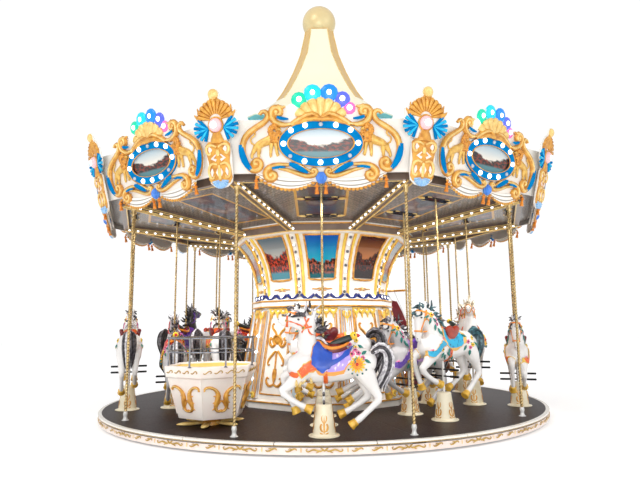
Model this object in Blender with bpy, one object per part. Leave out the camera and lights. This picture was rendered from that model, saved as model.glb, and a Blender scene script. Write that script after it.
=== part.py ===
"""Fairground carousel on its own turntable, built in metres with the origin at ground centre."""
import math

import bmesh
import bpy
from mathutils import Matrix, Vector

# Ring layout. Angles are degrees round the centre, 0 at the front, positive to the right.
SECTORS = 10
SECTOR = 360.0 / SECTORS
CORNER = SECTOR / 2.0
PLATES = 5
PLATE_START = -45.0
SEAT = 0.0003

# Deck and the frame under it. Heights are above ground.
DECK_R = 3.75
DECK_INNER_R = 0.62
DECK_TOP = 0.160
DECK_UNDER = 0.110
SKIRT_Z = (0.030, DECK_UNDER - SEAT)
SKIRT_R = (3.715, 3.745)
FRAME_Z = (0.075, DECK_UNDER - SEAT)
FRAME_HUB_R = 0.60
SPOKE_WIDTH = 0.10
SPOKE_END_R = SKIRT_R[0] - 0.0030

# Fixed base on the ground.
BASE_TOP = 0.060
BASE_HUB_R = 0.60
TRACK_R = (2.80, 3.05)
KING_R = 0.090
KING_TOP = 0.150
KING_PLAY = 0.0008
KING_SIDES = 32
BASE_BEAM_WIDTH = 0.14

# Posts at the corners and pedestals under the horses. Heights are above the deck.
POST_R = 3.500
POST_RADIUS = 0.022
POST_FOOT_RADIUS = 0.050
PEDESTAL = [(0.184, -0.004), (0.184, 0.022), (0.138, 0.034), (0.092, 0.375)]
PEDESTAL_SIDES = 10
ROD_RADIUS = 0.018
ROD_PLAY = 0.0008
BORE_FLOOR = 0.030
ROD_SIDES = 6
ROD_START = 10.0

# Horse rings and the rise of the horses.
OUTER, MIDDLE, INNER = 3.32, 2.62, 1.88
WIDE, NARROW = 2.85, 2.18
RISE = 0.18
ROD_BOTTOM = 0.040
ROD_TOP = 3.270
PEG_HEIGHTS = (0.412, 0.505)
PEG_REACH = 0.28
PEG_RADIUS = 0.012
# name number, ring radius, angle, resting height step (0 low, 1 high), style
HORSES = [
    (1, OUTER, 0, 0, "proud"), (2, MIDDLE, 0, 1, "tucked"), (3, INNER, 0, 0, "tucked"),
    (4, WIDE, 36, 1, "tucked"), (5, NARROW, 36, 0, "tucked"),
    (6, OUTER, 72, 0, "tucked"), (7, MIDDLE, 72, 1, "proud"), (8, INNER, 72, 0, "tucked"),
    (9, WIDE, 108, 1, "proud"), (10, NARROW, 108, 0, "tucked"),
    (11, WIDE, 180, 1, "proud"), (12, NARROW, 180, 0, "tucked"),
    (13, OUTER, 216, 0, "tucked"), (14, MIDDLE, 216, 1, "proud"), (15, INNER, 216, 0, "tucked"),
    (16, WIDE, 252, 1, "proud"), (17, NARROW, 252, 1, "tucked"),
    (18, OUTER, 288, 1, "tucked"), (19, MIDDLE, 288, 0, "proud"), (20, INNER, 288, 1, "tucked"),
]

# Ceiling, its ribs and the roof. Heights are above the deck, radii run to the corners.
CEILING_R = (1.62, 3.86)
CEILING_Z = 2.930
CEILING_SLOPE = 0.130
CEILING_THICK = 0.030
SLOT = (0.450, 0.070)
RIB_WIDTH = 0.080
RIB_R = (1.52, 3.69)
RIB_UNDER = (2.8055, 3.100)
INNER_RING = [(1.50, 2.8051), (1.66, 2.8051), (1.66, 2.9297), (1.50, 2.9297)]
OUTER_RING = [(3.62, 3.105), (3.70, 3.105), (3.70, 3.1980), (3.62, 3.1880)]
BAND = [
    (3.910, 3.146), (4.060, 3.768), (4.030, 3.768), (4.0136, 3.700), (3.900, 3.700),
    (3.900, 3.670), (4.0064, 3.670), (3.9110, 3.2747), (3.800, 3.2637), (3.800, 3.2437),
    (3.9061, 3.2575), (3.880, 3.146),
]
BAND_LEAN = math.atan2(0.150 * math.cos(math.radians(CORNER)), 0.622)
LOWER_ROOF = [(3.985, 3.7003), (3.930, 3.7003), (1.240, 4.810), (1.240, 4.850), (3.985, 3.745)]
DRUM = [
    (1.520, SEAT), (1.520, 0.100), (1.470, 0.140), (1.220, 1.600), (1.270, 1.630),
    (1.270, 1.710), (1.190, 1.7797), (1.130, 1.7797), (1.170, 1.600), (1.420, SEAT),
]
FLARE = [
    (1.175, 1.780), (1.195, 2.000), (1.265, 2.300), (1.400, 2.580), (1.560, 2.760),
    (1.625, 2.780), (1.625, 2.8047), (1.540, 2.8047), (1.360, 2.600), (1.225, 2.310),
    (1.155, 2.000), (1.135, 1.780),
]
MAST_R = (0.120, 0.150)
SPIRE = [(1.240, 4.870), (1.095, 4.990), (0.953, 5.152), (0.784, 5.356), (0.681, 5.558),
         (0.580, 5.803), (0.487, 6.049), (0.365, 6.440), (0.280, 6.870), (0.265, 6.970)]
SPIRE_WALL = 0.035
SPIRE_HOLLOW_TOP = 6.600
BALL_Z = 7.225
BALL_R = 0.330

# Painted boards round the roof edge.
CARTOUCHE_SIZE = (1.86, 1.26)
CARTOUCHE_Z = 3.520
CARTOUCHE_DEPTH = 0.075
SHIELD_SIZE = (0.52, 1.12)
SHIELD_Z = 3.540
SHIELD_DEPTH = 0.070

# Spinning tub and the bench carriage.
TUB_AT = (2.86, -32.5)
TUB_SIDES = 6
TUB_WALL = 0.030
TUB_RIM_R, TUB_FOOT_R = 0.640, 0.440
TUB_Z = (0.110, 0.800)
TUB_RAIL_Z = (0.980, 1.160)
TUB_RAIL_R = 0.600
RAIL_RADIUS = 0.016
TUB_POST_R = 0.035
TUB_PLAY = 0.0008
TUB_POST_SIDES = 24
CARRIAGE_AT = (2.50, 144.0)

MATERIALS = {
    "galvanised": ((0.35, 0.36, 0.37), 0.5, 0.8),
    "deck_paint": ((0.045, 0.028, 0.026), 0.25, 0.0),
    "cream": ((0.85, 0.78, 0.62), 0.35, 0.0),
    "white": ((0.80, 0.79, 0.76), 0.35, 0.0),
    "taupe": ((0.30, 0.22, 0.18), 0.5, 0.0),
    "gold": ((0.75, 0.48, 0.14), 0.3, 0.6),
    "cyan": ((0.16, 0.56, 0.72), 0.4, 0.0),
    "horse_white": ((0.82, 0.80, 0.77), 0.3, 0.0),
    "carriage_red": ((0.33, 0.03, 0.06), 0.35, 0.0),
}


def make_material(name):
    colour, roughness, metallic = MATERIALS[name]
    material = bpy.data.materials.get(name) or bpy.data.materials.new(name)
    material.use_nodes = True
    shader = material.node_tree.nodes["Principled BSDF"]
    shader.inputs["Base Color"].default_value = (*colour, 1.0)
    shader.inputs["Roughness"].default_value = roughness
    shader.inputs["Metallic"].default_value = metallic
    return material


def polar(radius, degrees, z=0.0):
    """Point at a radius and angle; 0 degrees is the front, at minus Y."""
    angle = math.radians(degrees)
    return Vector((radius * math.sin(angle), -radius * math.cos(angle), z))


def add_object(name, vertices, faces, colour="white"):
    mesh = bpy.data.meshes.new(name)
    mesh.from_pydata([tuple(v) for v in vertices], [], faces)
    work = bmesh.new()
    work.from_mesh(mesh)
    bmesh.ops.recalc_face_normals(work, faces=work.faces)
    work.to_mesh(mesh)
    work.free()
    part = bpy.data.objects.new(name, mesh)
    bpy.context.collection.objects.link(part)
    mesh.materials.append(make_material(colour))
    return part


def grid_solid(name, rows, closed, colour="white"):
    """Solid skin through rows of points; closed joins the last row to the first."""
    count = len(rows[0])
    vertices = [point for row in rows for point in row]
    faces = []
    for i in range(len(rows) if closed else len(rows) - 1):
        a, b = i * count, ((i + 1) % len(rows)) * count
        for j in range(count):
            k = (j + 1) % count
            faces.append((a + j, a + k, b + k, b + j))
    if not closed:
        faces.append(tuple(range(count - 1, -1, -1)))
        last = (len(rows) - 1) * count
        faces.append(tuple(range(last, last + count)))
    return add_object(name, vertices, faces, colour)


def corner_ring(name, profile, first=0, sectors=SECTORS, colour="white", lift=DECK_TOP):
    """Profile of (corner radius, height) carried round the ten-sided plan, a whole ring or part."""
    rows = []
    whole = sectors == SECTORS
    for i in range(sectors if whole else sectors + 1):
        angle = (first + i) * SECTOR + CORNER
        across = polar(1.0, angle + 90.0) * (SEAT / 2.0)
        if whole or 0 < i < sectors:
            across = Vector((0.0, 0.0, 0.0))
        elif i == sectors:
            across = -across
        rows.append([polar(r, angle, z + lift) + across for r, z in profile])
    return grid_solid(name, rows, whole, colour)


def turned(name, profile, sides, colour="white", start=0.0):
    """Solid of revolution about Z; profile runs from bottom to top as (radius, height)."""
    rows = []
    for radius, z in profile:
        rows.append([polar(radius, start + 360.0 * j / sides, z) for j in range(sides)])
    return grid_solid(name, rows, False, colour)


def tube_ring(name, inner, outer, z, sides, colour="white"):
    """Flat ring with a square section."""
    rows = []
    section = [(inner, z[0]), (outer, z[0]), (outer, z[1]), (inner, z[1])]
    for i in range(sides):
        rows.append([polar(r, 360.0 * i / sides, h) for r, h in section])
    return grid_solid(name, rows, True, colour)


def block(name, low, high, colour="white"):
    (x0, y0, z0), (x1, y1, z1) = low, high
    rows = [[(x0, y0, z), (x1, y0, z), (x1, y1, z), (x0, y1, z)] for z in (z0, z1)]
    return grid_solid(name, rows, False, colour)


def side_plate(name, outline, y0, y1, colour="white"):
    """Plate with an outline in X and Z, thick in Y."""
    rows = [[(x, y, z) for x, z in outline] for y in (y0, y1)]
    return grid_solid(name, rows, False, colour)


def limb(name, stations, sides, colour="white", side=0.0):
    """Round-sectioned limb in the X Z plane.

    Each station is x, z, heading in degrees, half height, half width. Heading 180 looks
    toward the nose and 90 looks straight up.
    """
    rows = []
    for x, z, heading, high, wide in stations:
        turn = math.radians(heading)
        up = Vector((-math.sin(turn), 0.0, math.cos(turn)))
        row = []
        for j in range(sides):
            a = 2.0 * math.pi * (j + 0.5) / sides
            row.append(Vector((x, side, z)) + up * (high * math.cos(a))
                       + Vector((0.0, wide * math.sin(a), 0.0)))
        rows.append(row)
    return grid_solid(name, rows, False, colour)


def move(part, matrix):
    part.data.transform(matrix)
    return part


def turn_z(degrees):
    return Matrix.Rotation(math.radians(degrees), 4, "Z")


def combine(base, parts, operation="UNION"):
    """Join or cut with exact booleans and keep the result as plain mesh."""
    for part in parts:
        modifier = base.modifiers.new("join", "BOOLEAN")
        modifier.operation = operation
        modifier.solver = "EXACT"
        modifier.object = part
        bpy.context.view_layer.objects.active = base
        bpy.ops.object.modifier_apply(modifier=modifier.name)
        bpy.data.objects.remove(part)
    return base


def clean(part, distance=0.00005):
    """Merge doubled points left by the booleans."""
    work = bmesh.new()
    work.from_mesh(part.data)
    bmesh.ops.remove_doubles(work, verts=work.verts, dist=distance)
    bmesh.ops.dissolve_degenerate(work, edges=work.edges, dist=distance)
    work.to_mesh(part.data)
    work.free()
    return part


def smooth(part, degrees=40.0):
    part.data.shade_smooth()
    part.data.set_sharp_from_angle(angle=math.radians(degrees))
    return part


def ceiling_height(corner_radius):
    return CEILING_Z + CEILING_SLOPE * (corner_radius - CEILING_R[0])


def rib_under(radius):
    share = (radius - RIB_R[0]) / (RIB_R[1] - RIB_R[0])
    return RIB_UNDER[0] + (RIB_UNDER[1] - RIB_UNDER[0]) * share


def slots_of(angle):
    """Ring radii whose poles pass through the ceiling at this angle."""
    return [r for _, r, a, _, _ in HORSES if a % 360 == angle % 360]


def build_ground_base():
    base = turned("ground_base", [(BASE_HUB_R, 0.0), (BASE_HUB_R, FRAME_Z[0] - SEAT)], 20,
                  "galvanised")
    parts = [turned("king", [(KING_R, 0.01), (KING_R, KING_TOP)], KING_SIDES)]
    for i in range(PLATES):
        beam = block("beam", (0.40, -BASE_BEAM_WIDTH / 2, 0.0),
                     (TRACK_R[0] + 0.08, BASE_BEAM_WIDTH / 2, BASE_TOP))
        parts.append(move(beam, turn_z(360.0 * i / PLATES - 90.0)))
    parts.append(tube_ring("track", TRACK_R[0], TRACK_R[1], (0.0, BASE_TOP), 30))
    return clean(combine(base, parts))


def build_turn_frame():
    hub = turned("turn_frame", [(FRAME_HUB_R, FRAME_Z[0]), (FRAME_HUB_R, FRAME_Z[1])], 20,
                 "galvanised")
    parts = []
    for i in range(SECTORS):
        spoke = block("spoke", (0.45, -SPOKE_WIDTH / 2, FRAME_Z[0]),
                      (SPOKE_END_R, SPOKE_WIDTH / 2, FRAME_Z[1]))
        parts.append(move(spoke, turn_z(SECTOR * i + CORNER - 90.0)))
    combine(hub, parts)
    bore = turned("bore", [(KING_R + KING_PLAY, 0.0), (KING_R + KING_PLAY, 0.5)], KING_SIDES)
    return clean(combine(hub, [bore], "DIFFERENCE"))


def build_deck_plate(index):
    start = PLATE_START + index * 360.0 / PLATES
    end = start + 360.0 / PLATES
    half = math.radians(360.0 / PLATES / 2.0)
    middle = (start + end) / 2.0
    outline = []
    for radius, steps, forward in ((DECK_R, 14, True), (DECK_INNER_R, 3, False)):
        for i in range(steps + 1):
            share = i / steps if forward else 1.0 - i / steps
            angle = -half + 2.0 * half * share
            x, y = radius * math.sin(angle), -radius * math.cos(angle)
            if i in (0, steps):
                sign = -1.0 if angle < 0 else 1.0
                x -= sign * math.cos(half) * SEAT / 2.0
                y -= math.sin(half) * SEAT / 2.0
            outline.append((x, y))
    rows = [[(x, y, z) for x, y in outline] for z in (DECK_UNDER, DECK_TOP)]
    plate = grid_solid("deck_plate_%d" % (index + 1), rows, False, "deck_paint")
    move(plate, turn_z(middle))
    parts, bores = [], []
    for _, radius, angle, _, _ in HORSES:
        if (angle - start) % 360.0 < end - start:
            spot = Matrix.Translation(polar(radius, angle, DECK_TOP)) @ turn_z(angle)
            parts.append(move(turned("pedestal", PEDESTAL, PEDESTAL_SIDES), spot))
            play = ROD_RADIUS + ROD_PLAY
            bore = turned("bore", [(play, BORE_FLOOR), (play, 0.6)], ROD_SIDES, start=ROD_START)
            bores.append(move(bore, spot))
    top = rib_under(POST_R - POST_RADIUS * 1.5) - SEAT
    for i in range(SECTORS):
        angle = i * SECTOR + CORNER
        if (angle - start) % 360.0 < end - start:
            profile = [(POST_FOOT_RADIUS, -0.004), (POST_FOOT_RADIUS, 0.010),
                       (POST_RADIUS, 0.070), (POST_RADIUS, top)]
            post = turned("post", profile, 8)
            parts.append(move(post, Matrix.Translation(polar(POST_R, angle, DECK_TOP))))
    combine(plate, parts)
    return clean(combine(plate, bores, "DIFFERENCE"))


def build_roof_frame():
    frame = corner_ring("roof_frame", INNER_RING, colour="taupe")
    parts = [corner_ring("outer", OUTER_RING)]
    for i in range(SECTORS):
        ends = []
        for y in (-RIB_WIDTH / 2, RIB_WIDTH / 2):
            ends.append([(RIB_R[0], y, RIB_UNDER[0]), (RIB_R[1], y, RIB_UNDER[1]),
                         (RIB_R[1], y, ceiling_height(RIB_R[1]) - SEAT),
                         (CEILING_R[0], y, CEILING_Z - SEAT), (RIB_R[0], y, CEILING_Z - SEAT)])
        rib = grid_solid("rib", ends, False)
        place = Matrix.Translation((0, 0, DECK_TOP)) @ turn_z(i * SECTOR + CORNER - 90.0)
        parts.append(move(rib, place))
    return clean(combine(frame, parts))


def build_ceiling_bay(index):
    """Two ceiling panels side by side, with a slot over each row of horses."""
    r0, r1 = CEILING_R
    profile = [(r0, CEILING_Z), (r1, ceiling_height(r1)), (r1, ceiling_height(r1) + CEILING_THICK),
               (r0, CEILING_Z + CEILING_THICK)]
    first = index * 2 - 1
    bay = corner_ring("ceiling_bay_%d" % (index + 1), profile, first, 2, "taupe")
    cuts = []
    for sector in (first + 1, first + 2):
        angle = sector * SECTOR
        for radius in slots_of(angle):
            cut = block("cut", (-SLOT[0] / 2, -SLOT[1] / 2, 2.7), (SLOT[0] / 2, SLOT[1] / 2, 3.6))
            place = Matrix.Translation(polar(radius, angle, DECK_TOP)) @ turn_z(angle)
            cuts.append(move(cut, place))
    return clean(combine(bay, cuts, "DIFFERENCE"))


def oval_outline(width, height, points, power):
    """Rounded outline in X and Z, squarer for a higher power."""
    outline = []
    for i in range(points):
        a = 2.0 * math.pi * i / points
        c, s = math.cos(a), math.sin(a)
        x = math.copysign(abs(c) ** (2.0 / power), c) * width / 2
        z = math.copysign(abs(s) ** (2.0 / power), s) * height / 2
        outline.append((x, z))
    return outline


def build_canopy_panel(index):
    """One side of the roof edge: leaning board, carved oval and the shield on its left corner."""
    angle = index * SECTOR
    panel = corner_ring("canopy_panel_%02d" % (index + 1), BAND, index - 1, 1)
    lean = Matrix.Rotation(BAND_LEAN, 4, "X")
    front = (BAND[0][0] + BAND[1][0]) / 2 * math.cos(math.radians(CORNER))
    width, height = CARTOUCHE_SIZE
    oval = side_plate("oval", oval_outline(width, height, 20, 2.3), -CARTOUCHE_DEPTH, 0.020)
    middle = (BAND[0][1] + BAND[1][1]) / 2
    out = front + (CARTOUCHE_Z - middle) * math.tan(BAND_LEAN)
    move(oval, turn_z(angle) @ Matrix.Translation((0, -out, CARTOUCHE_Z + DECK_TOP)) @ lean)
    width, height = SHIELD_SIZE
    shield = side_plate("shield", oval_outline(width, height, 14, 2.2), -SHIELD_DEPTH, 0.0)
    bracket = block("bracket", (0.010, -SHIELD_DEPTH / 2, -0.20), (0.150, 0.070, 0.12))
    corner = (BAND[0][0] + BAND[1][0]) / 2
    corner_lean = math.atan2(BAND[1][0] - BAND[0][0], BAND[1][1] - BAND[0][1])
    out = corner + (SHIELD_Z - middle) * math.tan(corner_lean) + 0.002
    place = turn_z(angle - CORNER) @ Matrix.Translation((0, -out, SHIELD_Z + DECK_TOP))
    place = place @ Matrix.Rotation(corner_lean, 4, "X")
    move(shield, place)
    move(bracket, place)
    return clean(combine(panel, [oval, shield, bracket]))


def spire_row(half_width, z):
    """Square with cut corners."""
    w = half_width
    inner = w - min(0.135, 0.39 * w)
    points = [(inner, -w), (w, -inner), (w, inner), (inner, w), (-inner, w), (-w, inner),
              (-w, -inner), (-inner, -w)]
    return [(x, y, z + DECK_TOP) for x, y in points]


def build_spire():
    rows = [spire_row(w, z) for w, z in SPIRE]
    inside = [spire_row(w - SPIRE_WALL * 1.6, z) for w, z in SPIRE if z < SPIRE_HOLLOW_TOP]
    inside.append(spire_row(0.230, SPIRE_HOLLOW_TOP))
    return grid_solid("spire", inside[::-1] + rows, False, "cream")


def build_ball():
    profile = [(0.200, 6.9703), (0.200, 7.000)]
    for i in range(1, 8):
        a = math.pi * (0.17 + 0.80 * i / 7.0)
        profile.append((BALL_R * math.sin(a), BALL_Z - BALL_R * math.cos(a)))
    profile = [(r, z + DECK_TOP) for r, z in profile]
    return smooth(turned("spire_ball", profile, 16, "gold"), 60.0)


def build_tub_stand():
    radius, angle = TUB_AT
    stand = turned("tub_stand", [(0.120, SEAT), (0.120, 0.060), (0.080, 0.080),
                                 (0.080, TUB_Z[0] - SEAT)], 12, "gold")
    parts = []
    for i in range(TUB_SIDES):
        arm = block("arm", (0.05, -0.035, SEAT), (0.46, 0.035, 0.045))
        parts.append(move(arm, turn_z(360.0 * i / TUB_SIDES)))
    parts.append(turned("post", [(TUB_POST_R, 0.05), (TUB_POST_R, 0.640)], TUB_POST_SIDES))
    wheel = turned("wheel", [(0.190, 0.630), (0.205, 0.655), (0.190, 0.670)], 12, start=7.0)
    parts.append(wheel)
    combine(stand, parts)
    return clean(move(stand, Matrix.Translation(polar(radius, angle, DECK_TOP)) @ turn_z(angle)))


def build_tub():
    """Six-sided tub with a bench inside and two rail rings on stanchions."""
    z0, z1 = TUB_Z
    shell = [(TUB_FOOT_R, z0), (TUB_FOOT_R + 0.02, z0 + 0.06), (TUB_RIM_R, z1 - 0.02),
             (TUB_RIM_R, z1)]
    tub = turned("spinning_tub", shell, TUB_SIDES, "cream", 30.0)
    hollow = turned("hollow", [(TUB_FOOT_R - 0.03, z0 + 0.04), (0.400, 0.380), (0.400, 0.4001),
                               (TUB_RIM_R - 0.10, z1 - 0.02),
                               (TUB_RIM_R - TUB_WALL * 1.4, z1 + 0.05)], TUB_SIDES, start=30.0)
    play = TUB_POST_R + TUB_PLAY
    bore = turned("bore", [(play, 0.0), (play, z0 + 0.2)], TUB_POST_SIDES)
    combine(tub, [hollow, bore], "DIFFERENCE")
    parts = []
    for z in TUB_RAIL_Z:
        rows = []
        for i in range(12):
            a = 30.0 * i
            row = []
            for j in range(4):
                b = 2.0 * math.pi * j / 4
                row.append(polar(TUB_RAIL_R + RAIL_RADIUS * math.cos(b), a,
                                 z + RAIL_RADIUS * math.sin(b)))
            rows.append(row)
        parts.append(grid_solid("rail", rows, True))
    for i in range(TUB_SIDES):
        leg = turned("leg", [(0.013, z1 - 0.04), (0.013, TUB_RAIL_Z[1])], 4, start=20.0)
        parts.append(move(leg, Matrix.Translation(polar(TUB_RAIL_R + 0.010, 60.0 * i + 30.0))))
    combine(tub, parts)
    clean(tub)
    radius, angle = TUB_AT
    tub.location = polar(radius, angle, DECK_TOP)
    tub.rotation_euler = (0.0, 0.0, math.radians(angle))
    return tub


def build_carriage():
    """Bench carriage with two curved sides, a seat and a foot board."""
    side = [(-0.62, 0.16), (-0.50, SEAT), (0.46, SEAT), (0.58, 0.20), (0.60, 0.95), (0.50, 1.06),
            (0.36, 0.98), (0.22, 0.62), (-0.10, 0.50), (-0.34, 0.62), (-0.50, 0.78), (-0.64, 0.70)]
    carriage = side_plate("carriage", side, -0.46, -0.42, "carriage_red")
    parts = [
        side_plate("side", side, 0.42, 0.46),
        block("floor", (-0.52, -0.43, 0.04), (0.50, 0.43, 0.09)),
        block("seat", (0.08, -0.43, 0.05), (0.50, 0.43, 0.42)),
        block("back", (0.46, -0.43, 0.30), (0.52, 0.43, 0.98)),
        side_plate("dash", [(-0.52, 0.05), (-0.48, 0.05), (-0.52, 0.66), (-0.56, 0.66)],
                   -0.43, 0.43),
    ]
    combine(carriage, parts)
    radius, angle = CARRIAGE_AT
    return clean(move(carriage, Matrix.Translation(polar(radius, angle, DECK_TOP)) @ turn_z(angle)))


NECKS = {
    "proud": [
        (0.630, 0.900, 180, 0.080, 0.060), (0.520, 0.870, 180, 0.180, 0.150),
        (0.200, 0.800, 180, 0.200, 0.170), (-0.120, 0.800, 175, 0.215, 0.165),
        (-0.260, 0.890, 135, 0.215, 0.145), (-0.270, 1.060, 95, 0.150, 0.100),
        (-0.190, 1.380, 88, 0.085, 0.060),
    ],
    "tucked": [
        (0.630, 0.900, 180, 0.080, 0.060), (0.520, 0.870, 180, 0.180, 0.150),
        (0.200, 0.800, 180, 0.200, 0.170), (-0.120, 0.800, 175, 0.215, 0.165),
        (-0.230, 0.880, 140, 0.215, 0.145), (-0.240, 1.050, 105, 0.165, 0.105),
        (-0.350, 1.300, 120, 0.090, 0.060),
    ],
}
HEADS = {
    "proud": [
        (-0.120, 1.345, 176, 0.060, 0.050), (-0.230, 1.330, 176, 0.105, 0.070),
        (-0.535, 1.370, 172, 0.048, 0.042),
    ],
    "tucked": [
        (-0.350, 1.310, 250, 0.060, 0.050), (-0.415, 1.240, 258, 0.095, 0.070),
        (-0.468, 0.915, 265, 0.044, 0.042),
    ],
}
MANES = {
    "proud": [
        (-0.070, 1.000, 90, 0.040, 0.022), (-0.085, 1.360, 100, 0.080, 0.042),
        (-0.170, 1.460, 150, 0.070, 0.042), (-0.300, 1.470, 180, 0.035, 0.030),
    ],
    "tucked": [
        (-0.020, 0.990, 100, 0.040, 0.022), (-0.110, 1.220, 115, 0.070, 0.042),
        (-0.300, 1.370, 165, 0.050, 0.042), (-0.420, 1.350, 215, 0.035, 0.030),
    ],
}
TAIL = [
    (0.560, 0.930, 20, 0.045, 0.035), (0.735, 1.000, -40, 0.070, 0.055),
    (0.790, 0.790, -100, 0.070, 0.055), (0.640, 0.560, -130, 0.028, 0.024),
]
# side, then stations of x, z, heading, radius
LEGS = [
    (-0.085, [(-0.200, 0.760, 215, 0.100), (-0.460, 0.560, 245, 0.058), (-0.130, 0.310, -40, 0.042)]),
    (0.085, [(-0.200, 0.760, 190, 0.100), (-0.440, 0.670, 235, 0.058), (-0.310, 0.270, -65, 0.042)]),
    (-0.085, [(0.440, 0.800, -70, 0.130), (0.620, 0.420, -95, 0.052), (0.350, 0.130, -140, 0.044)]),
    (0.085, [(0.440, 0.800, -80, 0.130), (0.530, 0.440, -105, 0.052), (0.240, 0.250, -150, 0.044)]),
]


def build_horse_mesh(style):
    """Prancing horse with its pole and foot pegs; the pole axis is the local Z axis."""
    horse = limb("horse_" + style, NECKS[style], 6, "horse_white")
    parts = [limb("head", HEADS[style], 5), limb("mane", MANES[style], 4),
             limb("tail", TAIL, 4)]
    for side, stations in LEGS:
        joints = [(x, z, heading, r, r * 0.85) for x, z, heading, r in stations]
        parts.append(limb("leg", joints, 4, side=side))
    rod = turned("rod", [(ROD_RADIUS, ROD_BOTTOM), (ROD_RADIUS, ROD_TOP)], ROD_SIDES,
                 start=ROD_START)
    parts.append(rod)
    for height in PEG_HEIGHTS:
        peg = turned("peg", [(PEG_RADIUS, -PEG_REACH), (PEG_RADIUS, PEG_REACH)], 4, start=40.0)
        move(peg, Matrix.Translation((0, 0, height)) @ Matrix.Rotation(math.pi / 2, 4, "X"))
        parts.append(peg)
    combine(horse, parts)
    clean(horse)
    smooth(horse, 50.0)
    mesh = horse.data
    bpy.data.objects.remove(horse)
    return mesh


def build_horses():
    meshes = {style: build_horse_mesh(style) for style in ("proud", "tucked")}
    for number, radius, angle, step, style in HORSES:
        horse = bpy.data.objects.new("horse_%02d" % number, meshes[style])
        bpy.context.collection.objects.link(horse)
        horse.location = polar(radius, angle, DECK_TOP + step * RISE)
        horse.rotation_euler = (0.0, 0.0, math.radians(angle))


def main():
    for item in list(bpy.data.objects):
        bpy.data.objects.remove(item)
    build_ground_base()
    build_turn_frame()
    tube_ring("deck_skirt", SKIRT_R[0], SKIRT_R[1], SKIRT_Z, 60, "cream")
    for index in range(PLATES):
        build_deck_plate(index)
    corner_ring("centre_drum", DRUM, colour="white")
    corner_ring("centre_flare", FLARE, colour="white")
    build_roof_frame()
    for index in range(PLATES):
        build_ceiling_bay(index)
    for index in range(SECTORS):
        build_canopy_panel(index)
    corner_ring("lower_roof", LOWER_ROOF, colour="cyan")
    tube_ring("centre_mast", MAST_R[0], MAST_R[1],
              (DECK_UNDER, SPIRE_HOLLOW_TOP + DECK_TOP - SEAT), 16, "galvanised")
    build_spire()
    build_ball()
    build_tub_stand()
    build_tub()
    build_carriage()
    build_horses()


main()
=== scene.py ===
"""Fairground carousel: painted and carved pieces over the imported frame."""

import math
import random

import bpy
from mathutils import Matrix, Vector


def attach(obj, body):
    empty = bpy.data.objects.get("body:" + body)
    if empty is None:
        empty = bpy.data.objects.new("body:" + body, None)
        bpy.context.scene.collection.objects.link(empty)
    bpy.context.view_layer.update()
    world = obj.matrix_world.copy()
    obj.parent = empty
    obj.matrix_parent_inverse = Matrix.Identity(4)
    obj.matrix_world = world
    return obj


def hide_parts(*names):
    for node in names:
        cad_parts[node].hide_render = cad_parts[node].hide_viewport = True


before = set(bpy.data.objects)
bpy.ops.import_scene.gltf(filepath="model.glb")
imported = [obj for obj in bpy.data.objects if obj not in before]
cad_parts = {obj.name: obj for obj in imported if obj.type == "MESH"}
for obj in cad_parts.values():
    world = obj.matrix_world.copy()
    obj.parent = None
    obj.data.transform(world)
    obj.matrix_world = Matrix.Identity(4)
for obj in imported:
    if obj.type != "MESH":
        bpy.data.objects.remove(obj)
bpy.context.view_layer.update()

# Sizes in metres; where DECK is added, a height counts from the deck's top
DECK = 0.16
SECTORS = 10
SECTOR = 36.0
CORNER = SECTOR / 2.0
HALF_SECTOR = math.radians(CORNER)
# Each horse: number, distance from the middle, angle, raised or not, carving
HORSES = [
    (1, 3.32, 0, 0, "proud"), (2, 2.62, 0, 1, "tucked"), (3, 1.88, 0, 0, "tucked"),
    (4, 2.85, 36, 1, "tucked"), (5, 2.18, 36, 0, "tucked"),
    (6, 3.32, 72, 0, "tucked"), (7, 2.62, 72, 1, "proud"), (8, 1.88, 72, 0, "tucked"),
    (9, 2.85, 108, 1, "proud"), (10, 2.18, 108, 0, "tucked"),
    (11, 2.85, 180, 1, "proud"), (12, 2.18, 180, 0, "tucked"),
    (13, 3.32, 216, 0, "tucked"), (14, 2.62, 216, 1, "proud"), (15, 1.88, 216, 0, "tucked"),
    (16, 2.85, 252, 1, "proud"), (17, 2.18, 252, 1, "tucked"),
    (18, 3.32, 288, 1, "tucked"), (19, 2.62, 288, 0, "proud"), (20, 1.88, 288, 1, "tucked"),
]
RISE = 0.18
POST_RADIUS = 3.5
EAVES_HEIGHT = 3.457
# Underside of the ribs at both ends: distance out and height
RIB_FOOT = (1.52, 2.8055)
RIB_END = (3.69, 3.1)
RIM_RADIUS = 3.75
TUB_PLACE = (2.86, -32.5)
CARRIAGE_PLACE = (2.5, 144)
CEILING_RISE = 0.13


# Finishes
def linear(hex_colour):
    values = [int(hex_colour[i:i + 2], 16) / 255.0 for i in (1, 3, 5)]
    return [v / 12.92 if v <= 0.04045 else ((v + 0.055) / 1.055) ** 2.4 for v in values] + [1.0]


def effect_group(name, inputs, outputs):
    """Node group with its sockets: the group, the outputs of its input, and its end."""
    group = bpy.data.node_groups.new(name, "ShaderNodeTree")
    for label, kind, value in inputs:
        socket = group.interface.new_socket(label, in_out="INPUT", socket_type="NodeSocket" + kind)
        socket.default_value = value
    for label, kind in outputs:
        group.interface.new_socket(label, in_out="OUTPUT", socket_type="NodeSocket" + kind)
    return group, group.nodes.new("NodeGroupInput").outputs, group.nodes.new("NodeGroupOutput")


def feed(tree, socket, value):
    """Links a socket to an output, or sets it to a colour or a number."""
    if isinstance(value, bpy.types.NodeSocket):
        tree.links.new(value, socket)
    else:
        socket.default_value = linear(value) if isinstance(value, str) else value


def fill(tree, made, **values):
    """Feeds a node's inputs by their names, with an underscore for each space."""
    for key, value in values.items():
        feed(tree, made.inputs[key.replace("_", " ")], value)
    return made


def node(tree, kind, **values):
    return fill(tree, tree.nodes.new("ShaderNode" + kind), **values)


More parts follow.
